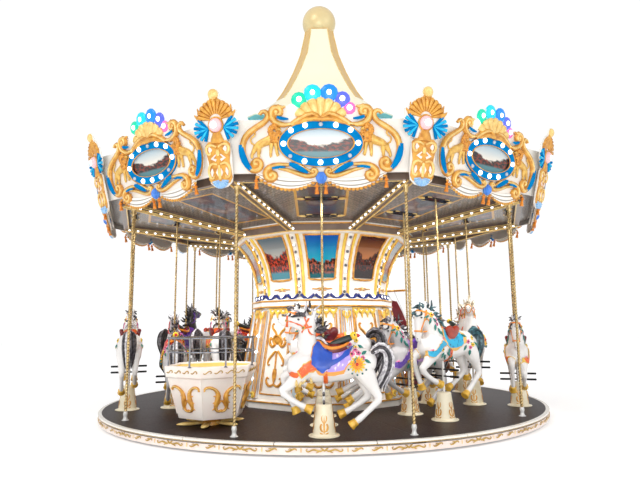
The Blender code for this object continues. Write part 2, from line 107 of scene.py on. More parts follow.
def calc(tree, operation, *values):
    """Math node on outputs and numbers."""
    made = node(tree, "Math")
    made.operation = operation
    for index, value in enumerate(values):
        feed(tree, made.inputs[index], value)
    return made.outputs[0]


def mix(tree, share, first, second):
    """Two colours mixed."""
    made = node(tree, "Mix")
    made.data_type = "RGBA"
    for index, value in ((0, share), (6, first), (7, second)):
        feed(tree, made.inputs[index], value)
    return made.outputs[2]


def remap(tree, value, **ends):
    return node(tree, "MapRange", Value=value, **ends).outputs[0]


def noise(tree, place, scale, detail=2.0):
    return node(tree, "TexNoise", Vector=place, Scale=scale, Detail=detail).outputs["Fac"]


def where(tree, kind="Object"):
    """Coordinates that a pattern follows, and their separate axes."""
    place = node(tree, "TexCoord").outputs[kind]
    return place, node(tree, "SeparateXYZ", Vector=place).outputs


def relief(tree, height, strength, distance):
    return node(tree, "Bump", Height=height, Strength=strength, Distance=distance).outputs["Normal"]


def brushed_tint_group():
    """Hand-painted surface: two tints mixed by soft noise, with fine unevenness."""
    group, given, out = effect_group(
        "hand_painted",
        [("Colour", "Color", (1, 1, 1, 1)), ("Shade", "Color", (0.5, 0.5, 0.5, 1)),
         ("Scale", "Float", 6.0), ("Share", "Float", 0.5)],
        [("Colour", "Color"), ("Height", "Float"), ("Rough", "Float")])
    place, _ = where(group)
    broad = noise(group, place, given["Scale"], 4.0)
    fine = noise(group, place, 90.0, 3.0)
    share = calc(group, "MULTIPLY", remap(group, broad, From_Min=0.38, From_Max=0.68), given["Share"])
    fill(group, out, Colour=mix(group, share, given["Colour"], given["Shade"]), Height=fine,
         Rough=remap(group, fine, To_Min=0.28, To_Max=0.46))
    return group


def lamp_glow_group():
    """Glass of a lamp: two tints clouded softly."""
    group, given, out = effect_group(
        "lamp_glow", [("Colour", "Color", (1, 1, 1, 1)), ("Glow", "Color", (1, 1, 1, 1))],
        [("Colour", "Color")])
    place, _ = where(group)
    fill(group, out, Colour=mix(group, noise(group, place, 30.0), given["Colour"], given["Glow"]))
    return group


def painted_view_group():
    """Plain painted view: sky over a ragged shore with warm patches, and water in front, by UV."""
    group, given, out = effect_group(
        "painted_view",
        [(label, "Color", (1, 1, 1, 1)) for label in ("Sky", "Haze", "Hill", "Accent", "Water")]
        + [(label, "Float", 0.3) for label in ("Bank", "Skyline", "Level")],
        [("Colour", "Color")])
    place, axes = where(group, "UV")
    ragged = noise(group, place, 7.0, 6.0)
    patches = noise(group, place, 13.0, 3.0)
    far = calc(group, "ABSOLUTE", calc(group, "SUBTRACT", axes["X"], 0.5))
    rise = calc(group, "MULTIPLY_ADD", ragged, 0.3, calc(group, "MULTIPLY", far, given["Bank"]))
    under = calc(group, "SUBTRACT", given["Skyline"], calc(group, "SUBTRACT", axes["Y"], rise))
    above = calc(group, "SUBTRACT", given["Level"], axes["Y"])
    sky = mix(group, remap(group, axes["Y"], From_Min=0.4, From_Max=0.95), given["Haze"], given["Sky"])
    shore = mix(group, remap(group, patches, From_Min=0.46, From_Max=0.6), given["Hill"],
                given["Accent"])
    upper = mix(group, remap(group, under, From_Min=-0.02, From_Max=0.03), sky, shore)
    fill(group, out, Colour=mix(group, remap(group, above, From_Min=-0.05, From_Max=0.02), upper,
                                given["Water"]))
    return group


HAND_PAINTED = brushed_tint_group()
LAMP_GLOW = lamp_glow_group()
PAINTED_VIEW = painted_view_group()


def new_finish(name):
    material = bpy.data.materials.new(name)
    material.use_nodes = True
    tree = material.node_tree
    return material, tree, tree.nodes["Principled BSDF"]


def grouped(tree, group, **values):
    """Outputs of a group node whose colours and values are set."""
    made = tree.nodes.new("ShaderNodeGroup")
    made.node_tree = group
    return fill(tree, made, **values).outputs


def painted(name, colour, shade, scale=6.0, share=0.5, metallic=0.0, coat=0.25, bump=0.15,
            roughness=None):
    material, tree, shader = new_finish(name)
    made = grouped(tree, HAND_PAINTED, Colour=colour, Shade=shade, Scale=scale, Share=share)
    fill(tree, shader, Base_Color=made["Colour"], Normal=relief(tree, made["Height"], bump, 0.002),
         Roughness=made["Rough"] if roughness is None else roughness, Metallic=metallic,
         Coat_Weight=coat, Coat_Roughness=0.12)
    return material


def lamp_finish(name, colour, glow, strength):
    material, tree, shader = new_finish(name)
    tint = grouped(tree, LAMP_GLOW, Colour=colour, Glow=glow)["Colour"]
    fill(tree, shader, Base_Color=tint, Emission_Color=tint, Emission_Strength=strength,
         Roughness=0.2)
    return material


def view_finish(name, bank, skyline, level, **colours):
    material, tree, shader = new_finish(name)
    made = grouped(tree, PAINTED_VIEW, Bank=bank, Skyline=skyline, Level=level, **colours)
    fill(tree, shader, Base_Color=made["Colour"], Roughness=0.25, Coat_Weight=0.4)
    return material


GOLD = painted("carved_gold", "#E8AC48", "#B46C20", 14.0, 0.75, 0.25, 0.3, 0.3)
GOLD_PALE = painted("carved_gold_pale", "#F8DA8C", "#DDA448", 14.0, 0.7, 0.15, 0.3, 0.3)
ORANGE_GOLD = painted("tassel_gold", "#EF9428", "#BC5C14", 30.0, 0.8, 0.1, 0.1, 0.6)
WHITE = painted("white_lacquer", "#F6F2EA", "#E4DCCF", 3.0, 0.5, 0.0, 0.4, 0.05)
BLUE = painted("ring_blue", "#0880C0", "#0666A6", 8.0, 0.6, 0.0, 0.0, 0.1)
TURQUOISE = painted("leaf_turquoise", "#35C8EC", "#1E9BE0", 25.0, 0.8, 0.0, 0.4, 0.3)
SHELL_BLUE = painted("shell_blue", "#A9D3F7", "#6AA6DC", 25.0, 0.7, 0.0, 0.4, 0.2)
CREAM = painted("cream_lacquer", "#FFF8DC", "#FCF0CC", 1.2, 0.4, 0.0, 0.3, 0.03)
TAN_GOLD = painted("tan_gold", "#E3BD7C", "#D9AE68", 2.0, 0.5, 0.0, 0.3, 0.05)
BALL_GOLD = painted("ball_gold", "#F0D8A0", "#DDB877", 3.0, 0.5, 0.2, 0.5, 0.05)
ROOF_CYAN = painted("roof_cyan", "#84E0FF", "#6AD2F8", 1.5, 0.5, 0.0, 0.0, 0.1, 0.9)
GREY_BACK = painted("board_back", "#B9B4AE", "#948E88", 4.0, 0.5, 0.0, 0.1, 0.1)
STEEL = painted("painted_steel", "#8C8E90", "#6F7173", 5.0, 0.6, 0.6, 0.1, 0.1)
BULB = lamp_finish("bulb_white", "#FFFFFF", "#F4F7FF", 3.0)
BULB_OFF = lamp_finish("bulb_unlit", "#C9CED6", "#A9AFB8", 0.05)


# Ways of working
def mm(table):
    """Sizes in metres from millimetres, or shares from thousandths."""
    if isinstance(table, (int, float)):
        return table / 1000.0
    return type(table)(mm(row) for row in table)


def leave():
    if bpy.context.object and bpy.context.object.mode != "OBJECT":
        bpy.ops.object.mode_set(mode="OBJECT")


def pick(*objects):
    """Selects these objects and no others."""
    leave()
    bpy.ops.object.select_all(action="DESELECT")
    for obj in objects:
        obj.select_set(True)
    if objects:
        bpy.context.view_layer.objects.active = objects[0]


def edit(obj):
    """Edit mode with all of a shape selected."""
    pick(obj)
    bpy.ops.object.mode_set(mode="EDIT")
    bpy.ops.mesh.select_all(action="SELECT")


def modify(obj, kind, **settings):
    """Adds one modifier with its settings."""
    made = obj.modifiers.new(kind.lower(), kind)
    for key, value in settings.items():
        setattr(made, key, value)
    return obj


def apply_all(obj):
    pick(obj)
    for modifier in list(obj.modifiers):
        bpy.ops.object.modifier_apply(modifier=modifier.name)
    return obj


def outward(obj):
    """Merges doubles and turns the faces outwards."""
    edit(obj)
    bpy.ops.mesh.remove_doubles(threshold=0.00001)
    bpy.ops.mesh.normals_make_consistent(inside=False)
    leave()
    return obj


def round_off(obj, degrees=40.0):
    pick(obj)
    bpy.ops.object.shade_smooth_by_angle(angle=math.radians(degrees))
    return obj


def finished(obj, finish, smooth):
    obj.data.materials.append(finish)
    return round_off(obj, smooth)


def draw(name, points, face=False):
    """A line drawn point by point, closed to a face on request."""
    pick()
    bpy.ops.mesh.primitive_plane_add(size=0.01, location=(0, 0, 0))
    obj = bpy.context.object
    obj.name = name
    bpy.ops.object.mode_set(mode="EDIT")
    bpy.ops.mesh.select_all(action="SELECT")
    bpy.ops.mesh.merge(type="CENTER")
    bpy.ops.mesh.select_all(action="SELECT")
    bpy.ops.transform.translate(value=points[0])
    for here, there in zip(points, points[1:]):
        bpy.ops.mesh.extrude_vertices_move(
            TRANSFORM_OT_translate={"value": Vector(there) - Vector(here)})
    if face:
        bpy.ops.mesh.select_all(action="SELECT")
        bpy.ops.mesh.edge_face_add()
    leave()
    return obj


def spin(obj, steps, degrees=360.0):
    """Spins all of a shape round the upright axis in the middle."""
    edit(obj)
    bpy.ops.mesh.spin(steps=steps, angle=math.radians(degrees), center=(0, 0, 0), axis=(0, 0, 1))
    leave()
    return outward(obj)


def extrude(obj, way):
    edit(obj)
    bpy.ops.mesh.extrude_region_move(TRANSFORM_OT_translate={"value": way})
    leave()
    return outward(obj)


def close_ends(obj):
    """Closes the open ends of a tube with faces."""
    edit(obj)
    bpy.ops.mesh.select_all(action="DESELECT")
    bpy.ops.mesh.select_mode(type="EDGE")
    bpy.ops.mesh.select_non_manifold()
    bpy.ops.mesh.edge_face_add()
    leave()
    return outward(obj)


def lathe(name, profile, steps, finish, smooth=40.0):
    """Profile of (radius, height) spun round a vertical axis."""
    return finished(spin(draw(name, [(r, 0, z) for r, z in profile]), steps), finish, smooth)


def board(name, outline, front, back, finish, bevel=0.006):
    """A flat board sawn to an outline in X and Z, with eased edges."""
    obj = extrude(draw(name, [(x, back, z) for x, z in outline], True), (0, front - back, 0))
    apply_all(modify(obj, "BEVEL", width=bevel, segments=2, limit_method="ANGLE"))
    return finished(obj, finish, 35.0)


def carve(name, strands, finish, flat=0.7, sides=2, y=0.0, smooth_curve=True):
    """Carved strands: each is a list of (x, z, radius) or (x, y, z, radius) along its middle."""
    curve = bpy.data.curves.new(name, "CURVE")
    curve.dimensions = "3D"
    curve.bevel_depth = 1.0
    curve.bevel_resolution = sides
    curve.use_fill_caps = True
    curve.resolution_u = 2
    for strand in strands:
        if len(strand[0]) == 3:
            strand = [(x, 0.0, z, r) for x, z, r in strand]
        spline = curve.splines.new("NURBS" if smooth_curve else "POLY")
        spline.points.add(len(strand) - 1)
        for point, (px, py, pz, radius) in zip(spline.points, strand):
            point.co = (px, py, pz, 1.0)
            point.radius = radius
        if smooth_curve:
            spline.order_u = 4
            spline.use_endpoint_u = True
    obj = bpy.data.objects.new(name, curve)
    bpy.context.scene.collection.objects.link(obj)
    pick(obj)
    bpy.ops.object.convert(target="MESH")
    obj = bpy.context.object
    obj.data.transform(shift(0, y, 0) @ Matrix.Diagonal((1, flat, 1, 1)))
    return finished(obj, finish, 70.0)


def rods(name, strands, finish, sides=1):
    """Straight strands, round in section."""
    return carve(name, strands, finish, 1.0, sides, 0.0, False)


def added(name, finish, place=Matrix(), smooth=80.0):
    """The primitive just added, with its place in its mesh."""
    obj = bpy.context.object
    bpy.ops.object.transform_apply(location=True, rotation=True, scale=True)
    obj.data.transform(place)
    obj.name = name
    return finished(obj, finish, smooth)


def globe(name, at, radius, finish, segments=12, rings=8, flat=1.0):
    pick()
    bpy.ops.mesh.primitive_uv_sphere_add(segments=segments, ring_count=rings, radius=radius,
                                         location=at, scale=(1, flat, 1))
    return added(name, finish)


def hoop(name, at, major, minor, finish, upright=1.0, steps=40, sides=8):
    """Ring facing the front, squeezed in height."""
    pick()
    bpy.ops.mesh.primitive_torus_add(major_segments=steps, minor_segments=sides, major_radius=major,
                                     minor_radius=minor, rotation=(math.pi / 2, 0, 0))
    return added(name, finish, shift(*at) @ Matrix.Diagonal((1, 1, upright, 1)))


def level_ring(name, height, major, minor, finish, steps):
    pick()
    bpy.ops.mesh.primitive_torus_add(major_segments=steps, minor_segments=8, major_radius=major,
                                     minor_radius=minor, location=(0, 0, height))
    return added(name, finish)


def grid(name, across, along, place):
    """Grid laid out by a function of each point's place on it, -0.5 to 0.5 both ways."""
    pick()
    bpy.ops.mesh.primitive_grid_add(x_subdivisions=across, y_subdivisions=along, size=1.0)
    obj = bpy.context.object
    obj.name = name
    for vertex in obj.data.vertices:
        vertex.co = place(vertex.co.x, vertex.co.y)
    return obj


def gather(name, pieces):
    pick(*pieces)
    if len(pieces) > 1:
        bpy.ops.object.join()
    obj = bpy.context.object
    obj.name = name
    obj.data.name = name
    return obj


def move(obj, matrix):
    """Puts a piece in place and leaves its object at the origin."""
    pick(obj)
    obj.matrix_world = matrix @ obj.matrix_world
    bpy.ops.object.transform_apply(location=True, rotation=True, scale=True)
    if matrix.determinant() < 0:
        outward(obj)
    return obj


def copy_to(obj, name, matrix):
    twin = obj.copy()
    twin.data = obj.data.copy()
    twin.name = name
    bpy.context.scene.collection.objects.link(twin)
    return move(twin, matrix)


def flip(obj, name):
    return copy_to(obj, name, Matrix.Diagonal((-1, 1, 1, 1)))


def throw_away(*objects):
    leave()
    for obj in objects:
        bpy.data.objects.remove(obj)


def turn(degrees, axis="Z"):
    return Matrix.Rotation(math.radians(degrees), 4, axis)


def shift(x, y, z):
    return Matrix.Translation((x, y, z))


def polar(radius, degrees, z=0.0):
    """Point at a distance from the middle and an angle from the front."""
    angle = math.radians(degrees)
    return Vector((radius * math.sin(angle), -radius * math.cos(angle), z))


def ring_line(radius, height, thick):
    """Strand round the ten corners at a height over the deck."""
    return [tuple(polar(radius, CORNER + SECTOR * i, height + DECK)) + (thick,)
            for i in range(SECTORS + 1)]


def mirrored(strands):
    return strands + [[(-s[0],) + tuple(s[1:]) for s in strand] for strand in strands]


def both_halves(half):
    """Closed outline from its right half, drawn down the middle line's two ends."""
    return half + [(-x, z) for x, z in half[-2:0:-1]]


def flutes(name, centre, inner, outer, start, end, count, finish, depth=0.02, y=0.0, gap=0.9):
    """Shell fan: round-backed flutes spread from a centre."""
    strands = []
    for i in range(count):
        a = math.radians(start + (end - start) * (i + 0.5) / count)
        wide = abs(end - start) / count * math.pi / 180 / 2 * gap
        strand = []
        for share in (0.0, 0.35, 0.7, 0.92, 1.0):
            r = inner + (outer - inner) * share
            width = r * wide * (1.0 if share < 1.0 else 0.55)
            strand.append((centre[0] + r * math.cos(a), centre[1] + r * math.sin(a), width))
        strands.append(strand)
    widest = outer * abs(end - start) / count * math.pi / 180 / 2 * gap
    return carve(name, strands, finish, depth / widest, 2, y, False)


# Roof edge boards
LAKE_VIEW = view_finish("lake_view", 0.6, 0.26, 0.22, Sky="#A9C2D0", Haze="#F2E8D8", Hill="#241E1C",
                        Accent="#7E3426", Water="#4E8088")
DOME_TINTS = ["#F4F2E0", "#0FC49C", "#12C4E6", "#1280E6", "#5562E2", "#F06CB0"]
DOMES = [lamp_finish("dome_tint_%d" % i, c, c, 0.35) for i, c in enumerate(DOME_TINTS)]
LION_GOLD = painted("lion_gold", "#EBC060", "#C08430", 18.0, 0.7, 0.2, 0.3, 0.3)
MANE_GOLD = painted("lion_mane", "#E8A23C", "#A8601C", 30.0, 0.8, 0.15, 0.2, 0.4)


def lion(name):
    """Walking lion in relief, facing right."""
    body = carve(name, mm([
        [(-110, -55, 30), (-70, -20, 45), (0, 0, 40), (60, 30, 52), (85, 90, 40)],
        [(70, 30, 30), (100, -40, 18), (85, -110, 13), (110, -145, 16)],
        [(40, 10, 30), (50, -70, 17), (20, -130, 12), (40, -155, 15)],
        [(-90, -40, 35), (-70, -100, 20), (-100, -140, 12), (-80, -160, 15)],
        [(-110, -50, 32), (-140, -110, 20), (-170, -140, 12), (-150, -165, 15)],
        [(-120, -40, 10), (-170, -20, 9), (-170, 40, 8), (-120, 50, 8), (-110, 90, 8),
         (-150, 115, 16)],
        [(85, 120, 34), (115, 122, 26), (135, 108, 16)]]), LION_GOLD, 0.75)
    locks = []
    chance = random.Random(4)
    for i in range(22):
        a = math.radians(70 + 13 * i)
        r = 0.034 + 0.02 * (i % 2)
        at = (0.078 + r * math.cos(a), -0.018 - 0.012 * chance.random(), 0.1 + r * math.sin(a))
        locks.append(globe("lock", at, 0.021, MANE_GOLD, 6, 4))
    for i in range(12):
        at = (0.05 + 0.022 * (i % 3), -0.022 - 0.01 * chance.random(), 0.06 - 0.02 * (i // 3))
        locks.append(globe("lock", at, 0.021, MANE_GOLD, 6, 4))
    return gather(name, [body] + locks)


def swag_line(s):
    """Place across, sag, top and foot of the left swag at a share of its width."""
    sag = math.sin(math.pi * s)
    top = -0.335 - 0.085 * s - 0.03 * sag
    return -0.8 + 0.73 * s, sag, top, top - 0.014 - 0.125 * sag ** 0.6


def swag(name, finish):
    """Draped cloth carved between two points, hollow-folded."""
    def place(x, y):
        t = 0.5 - y
        across, sag, top, low = swag_line(x + 0.5)
        fold = math.sin(t * math.pi * 5.0 + 0.6 * (x + 0.5)) * 0.009 * sag
        bulge = 0.03 * sag * math.sin(math.pi * min(1.0, t * 0.9 + 0.1))
        return across, -0.016 - bulge - fold, top + (low - top) * t

    obj = apply_all(modify(grid(name, 20, 12, place), "SOLIDIFY", thickness=0.006))
    return finished(outward(obj), finish, 60.0)


def fold_shade_finish():
    """White drapery with painted shade, grey in the hollows of its folds, by UV."""
    material, tree, shader = new_finish("swag_fold_shade")
    _, axes = where(tree, "UV")
    wave = calc(tree, "MULTIPLY_ADD", axes["X"], -0.6, calc(tree, "MULTIPLY", axes["Y"], 5.0 * math.pi))
    level = remap(tree, calc(tree, "SINE", wave), From_Min=-1.0, From_Max=-0.2)
    # Painted shade: grey in the fold hollows, white on the crests of the folds
    fill(tree, shader, Base_Color=mix(tree, level, "#8E877F", "#FFFCF4"), Roughness=0.5)
    return material


SWAG_FOLD_SHADE = fold_shade_finish()
BUD_BLUE = painted("bud_blue", "#4A8EE8", "#2A66C8", 12.0, 0.5, 0.0, 0.5, 0.1)


def swag_edge(name):
    beads = []
    for i in range(15):
        x, _, _, low = swag_line(0.04 + 0.92 * i / 14.0)
        beads.append([(x, low + 0.012, 0.026), (x, low - 0.01, 0.024), (x, low - 0.022, 0.008)])
    return carve(name, beads, GOLD, 0.55, 1, -0.03, False)


def tassel(name, x, top):
    profile = mm([
        (0, 0), (12, -4), (9, -20), (24, -32), (26, -48), (13, -58), (20, -85), (28, -138), (0, -140)])
    return move(lathe(name, profile, 10, ORANGE_GOLD), shift(x, -0.045, top))


def cartouche_scrolls():
    """Gilt scrollwork with its volutes, the beard under the crest, and blue inlays."""
    sides = mirrored(mm([
        [(-735, 345, 20), (-715, 385, 22), (-665, 395, 26), (-628, 345, 30), (-650, 270, 32),
         (-765, 205, 34), (-876, 130, 36), (-935, 40, 36), (-950, -60, 32), (-925, -195, 32),
         (-866, -295, 34), (-795, -330, 34), (-722, -284, 32), (-718, -208, 30), (-775, -175, 28),
         (-822, -212, 26), (-800, -262, 24), (-765, -240, 22)],
        [(-345, 235, 16), (-430, 215, 30), (-536, 232, 36), (-596, 308, 36), (-602, 389, 36),
         (-551, 436, 36), (-490, 424, 34), (-468, 372, 32), (-503, 330, 28), (-543, 352, 24)],
        [(-520, 440, 30), (-455, 420, 20), (-425, 445, 12)],
        [(-355, 225, 30), (-284, 270, 34), (-195, 330, 36), (-107, 358, 34), (-40, 335, 30),
         (-4, 285, 22)],
        [(-380, -250, 18), (-506, -246, 30), (-625, -266, 36), (-684, -343, 38), (-647, -430, 38),
         (-570, -432, 36), (-538, -370, 32), (-585, -330, 30), (-625, -370, 26)],
        [(-520, -290, 14), (-403, -305, 22), (-255, -375, 26), (-115, -398, 28), (-50, -355, 28),
         (-70, -305, 26), (-118, -305, 24), (-110, -340, 20)],
        [(-360, -228, 12), (-280, -232, 16), (-190, -300, 16), (-120, -340, 12)]]))
    sides = [[(x, z, r * 1.12) for x, z, r in strand] for strand in sides]
    pieces = [carve("scrolls", sides, GOLD, 0.85, 2, -0.036)]
    ridges = [[(x, z, r * 0.4) for x, z, r in strand] for strand in sides]
    pieces.append(carve("ridges", ridges, GOLD_PALE, 1.0, 0, -0.062))
    for x, z, r in mm(((-535, 378, 74), (-792, -235, 62), (-612, -372, 64), (-98, -340, 40))):
        for side in (-1, 1):
            pieces.append(globe("volute", (side * x, -0.03, z), r, GOLD, 12, 6, 0.34))
            pieces.append(globe("volute_eye", (side * x, -0.056, z), r * 0.34, GOLD_PALE, 8, 4, 0.6))
    beard = mirrored(mm([
        [(0, 285, 30), (-110, 300, 32), (-210, 275, 26), (-290, 225, 18), (-330, 240, 8)],
        [(0, 300, 20), (-70, 345, 22), (-140, 350, 10)]]))
    pieces.append(carve("beard", beard, GOLD, 0.8, 2, -0.062))
    inlays = mirrored(mm([
        [(-962, -10, 24), (-955, -120, 46), (-922, -230, 46), (-845, -305, 22)],
        [(-525, 318, 14), (-470, 290, 30), (-385, 290, 10)],
        [(-590, -292, 14), (-510, -272, 24), (-430, -280, 8)],
        [(-385, -240, 20), (-300, -262, 44), (-225, -318, 38), (-160, -352, 10)]]))
    pieces.append(carve("inlays", inlays, BLUE, 0.5, 2, -0.064))
    pieces.append(flutes("crest", (0.0, 0.195), 0.08, 0.35, 24, 156, 7, GOLD_PALE, 0.034, -0.03,
                         1.06))
    return pieces


def lamp_ring():
    """Blue ring round the picture, cut out of an oval face, between two gilt beads."""
    ring = draw("ring", [(0.518 * math.cos(2 * math.pi * i / 56), 0, 0.284 * math.sin(2 * math.pi * i / 56))
                         for i in range(56)], True)
    edit(ring)
    bpy.ops.mesh.inset(thickness=0.106)
    leave()
    ring.data.materials.append(BLUE)
    edit(ring)
    bpy.ops.mesh.select_all(action="DESELECT")
    leave()
    max(ring.data.polygons, key=lambda f: len(f.vertices)).select = True
    pick(ring)
    bpy.ops.object.mode_set(mode="EDIT")
    bpy.ops.mesh.select_mode(type="FACE")
    bpy.ops.mesh.delete(type="FACE")
    leave()
    apply_all(modify(ring, "SOLIDIFY", thickness=0.03, offset=0.0))
    outward(ring)
    ring.data.transform(shift(0, -0.034, 0))
    return [ring, hoop("outer_bead", (0, -0.05, 0), 0.512, 0.01, GOLD, 0.546, 56, 6),
            hoop("inner_bead", (0, -0.05, 0), 0.4, 0.01, GOLD, 0.435, 56, 6)]


def lake_picture():
    pick()
    bpy.ops.mesh.primitive_circle_add(vertices=40, radius=1.0, fill_type="TRIFAN",
                                      rotation=(math.pi / 2, 0, 0), calc_uvs=True)
    view = bpy.context.object
    bpy.ops.object.transform_apply(location=True, rotation=True, scale=True)
    view.data.transform(shift(0, -0.03, 0) @ Matrix.Diagonal((0.402, 1, 0.176, 1)))
    view.data.materials.append(LAKE_VIEW)
    return view


def cartouche_lamps():
    """Lamps on the blue ring, three of them out, and the coloured domes over it."""
    pieces = []
    lamps = mm([
        (-358, 157), (-188, 214), (0, 226), (180, 214), (356, 155), (448, 0), (346, -150), (178, -212),
        (-8, -226), (-200, -210), (-370, -150), (-450, 0)])
    for i, (x, z) in enumerate(lamps):
        unlit = i in (2, 6, 10)
        pieces.append(globe("bulb", (x, -0.056, z), 0.026 if unlit else 0.033,
                            BULB_OFF if unlit else BULB, 8, 5, 0.8))
    domes = mm([
        (-342, 405, 72), (-258, 520, 92), (-95, 596, 104), (104, 598, 104), (262, 524, 90),
        (348, 415, 74)])
    for i, (x, z, r) in enumerate(domes):
        pieces.append(globe("dome", (x, -0.01, z), r * 1.06, DOMES[i], 16, 6, 0.3))
        pieces.append(carve("dome_stem", [[(x * 0.45, 0.2 + (z - 0.2) * 0.45, r * 0.5),
                                           (x * 0.95, 0.2 + (z - 0.2) * 0.95, r)]], DOMES[i], 0.22, 1,
                            -0.008, False))
        pieces.append(globe("dome_bulb", (x, -0.034, z + 0.008), 0.034, BULB, 8, 5, 0.6))
    return pieces


def bud():
    """Ribbed blue bud that hangs under the picture."""
    ribs = []
    for i in range(9):
        a = math.radians(-80 + 20 * i)
        ribs.append([(0.058 * math.sin(a) * s, -0.03 - 0.058 * math.cos(a) * s, -0.41 + h, 0.012)
                     for s, h in mm(((300, 62), (900, 35), (1050, 0), (900, -35), (300, -62)))])
    return [globe("bud", (0, -0.03, -0.41), 0.06, BLUE), carve("bud_ribs", ribs, BUD_BLUE, 1.0, 0)]


def carve_cartouche():
    """Oval picture with its ring of lamps, crest, lions, scrolls and swags, in its own plane."""
    half = mm([
        (0, 600), (60, 665), (130, 680), (190, 640), (210, 585), (270, 590), (320, 555), (330, 480),
        (385, 455), (460, 450), (560, 440), (610, 385), (660, 300), (760, 215), (870, 135), (940, 40),
        (965, -60), (940, -200), (870, -310), (740, -370), (660, -440), (500, -500), (300, -520),
        (120, -480), (0, -440)])
    pieces = [board("cartouche", both_halves(half), -0.018, 0.01, WHITE, 0.005)]
    pieces += cartouche_scrolls() + lamp_ring() + [lake_picture()] + cartouche_lamps()
    left = move(lion("lion"), shift(-0.647, -0.034, 0.03) @ Matrix.Scale(1.2, 4))
    drape = swag("swag", SWAG_FOLD_SHADE)
    edge = swag_edge("swag_edge")
    for name, half in (("lion", left), ("swag", drape), ("swag_edge", edge)):
        pieces += [half, flip(half, name + "_right")]
    pieces += bud()
    for x, top in ((-0.055, -0.47), (0.055, -0.47), (-0.785, -0.4), (0.785, -0.4)):
        pieces.append(tassel("tassel", x, top))
    return gather("cartouche", pieces)


def carve_shield():
    """Corner board with a globe lamp, fan, acanthus wings and a pierced column, in its own plane."""
    half = mm([
        (0, 435), (50, 420), (72, 370), (85, 315), (150, 285), (215, 215), (240, 165), (285, 150),
        (280, 80), (285, 0), (265, -80), (200, -130), (120, -145), (130, -200), (162, -225),
        (166, -420), (162, -600), (145, -690), (80, -745), (0, -760)])
    pieces = [board("shield", both_halves(half), -0.014, 0.01, WHITE, 0.004)]
    pieces.append(flutes("fan", (0.0, 0.055), 0.08, 0.255, 6, 174, 11, GOLD, 0.034, -0.018, 1.04))
    pieces.append(globe("globe", (0, -0.034, 0.0), 0.085, PEARL, 16, 9, 0.75))
    pieces.append(globe("globe_light", (0, -0.082, 0.0), 0.044, BULB, 10, 6, 0.5))
    pieces.append(hoop("globe_ring", (0, -0.026, 0.0), 0.094, 0.011, GOLD, 1.0, 28, 7))
    pieces.append(globe("finial", (0, -0.022, 0.365), 0.066, GOLD_PALE, 14, 9, 0.7))
    pieces.append(hoop("finial_ring", (0, -0.02, 0.312), 0.045, 0.012, GOLD, 0.5, 20, 6))
    pieces.append(carve("leaf_tips", mirrored(mm([
        [(-190, 80, 22), (-245, 105, 20), (-275, 150, 6)],
        [(-200, 150, 16), (-225, 190, 14), (-225, 225, 5)]])), GOLD, 0.8, 1, -0.026))
    for k in range(7):
        a = math.radians(-78 + 22 * k)
        tip = (0.12 + 0.175 * math.cos(a), -0.035 + 0.15 * math.sin(a))
        barb = [(0.105, -0.035, 0.012), ((0.105 + tip[0]) / 2, (-0.035 + tip[1]) / 2 - 0.006, 0.02),
                tip + (0.022,)]
        pieces.append(carve("wing", mirrored([barb]), TURQUOISE if k % 2 else BLUE, 0.8, 1, -0.024))
    pieces.append(carve("neck", mm([
        [(0, -90, 50), (0, -140, 70), (0, -190, 105), (0, -215, 80)]]), GOLD, 0.4, 3, -0.026))
    panel = mm([
        (120, -190), (168, -235), (160, -330), (138, -440), (150, -560), (158, -640), (120, -700)])
    column = panel + [(-x, z) for x, z in panel[::-1]]
    pieces.append(board("column", column, -0.034, -0.01, GOLD, 0.01))
    openings = mirrored(mm([
        [(108, -330, 6), (98, -290, 30), (108, -255, 12)],
        [(30, -350, 8), (82, -395, 22), (30, -420, 18)],
        [(104, -610, 6), (100, -560, 24), (94, -515, 8)],
        [(20, -520, 6), (26, -565, 24), (20, -610, 6)]]))
    pieces.append(carve("openings", openings, PEARL_WHITE, 0.35, 1, -0.038, False))
    scrolls = mirrored(mm([
        [(12, -262, 12), (60, -225, 15), (140, -232, 17), (158, -290, 18), (132, -355, 16),
         (92, -345, 13), (100, -318, 10)],
        [(22, -470, 12), (80, -440, 15), (136, -480, 18), (146, -570, 18), (122, -642, 16),
         (72, -636, 13), (80, -600, 10)],
        [(0, -300, 18), (20, -330, 18), (0, -365, 16)],
        [(0, -480, 16), (10, -560, 18), (0, -650, 20)]]))
    pieces.append(carve("column_scrolls", scrolls, GOLD_PALE, 0.8, 2, -0.04))
    pieces.append(flutes("lower_shell", (0.0, -0.65), 0.02, 0.112, 188, 352, 9, SHELL_BLUE, 0.028,
                         -0.03, 1.04))
    return gather("shield", pieces)


PEARL = lamp_finish("pearl_lamp", "#F6D4D2", "#EDB4BC", 0.12)
PEARL_WHITE = painted("pearl_white", "#FAECE2", "#EBCFC6", 12.0, 0.6, 0.0, 0.4, 0.1)
BAND_PROFILE = [
    (3.91, 3.146), (4.06, 3.768), (4.03, 3.768), (4.0136, 3.7), (3.9, 3.7),
    (3.9, 3.67), (4.0064, 3.67), (3.911, 3.2747), (3.8, 3.2637), (3.8, 3.2437),
    (3.9061, 3.2575), (3.88, 3.146),
]
FACE_LEAN = math.atan2(0.15 * math.cos(math.radians(CORNER)), 0.622)
CORNER_LEAN = math.atan2(0.15, 0.622)


def facing(angle, out, z, lean=0.0):
    """Place on the ride's outside: angle, distance from the middle, height over the deck."""
    return turn(angle) @ shift(0, -out, z + DECK) @ Matrix.Rotation(lean, 4, "X")


def by_direction(obj, finish, chosen):
    """Gives the faces that point a chosen way a second finish."""
    obj.data.materials.append(finish)
    slot = len(obj.data.materials) - 1
    for face in obj.data.polygons:
        if chosen(face):
            face.material_index = slot


def sector_solid(name, profile, finish):
    obj = spin(draw(name, [polar(r, -CORNER, z + DECK) for r, z in profile], True), 1, SECTOR)
    obj.data.materials.append(finish)
    return obj


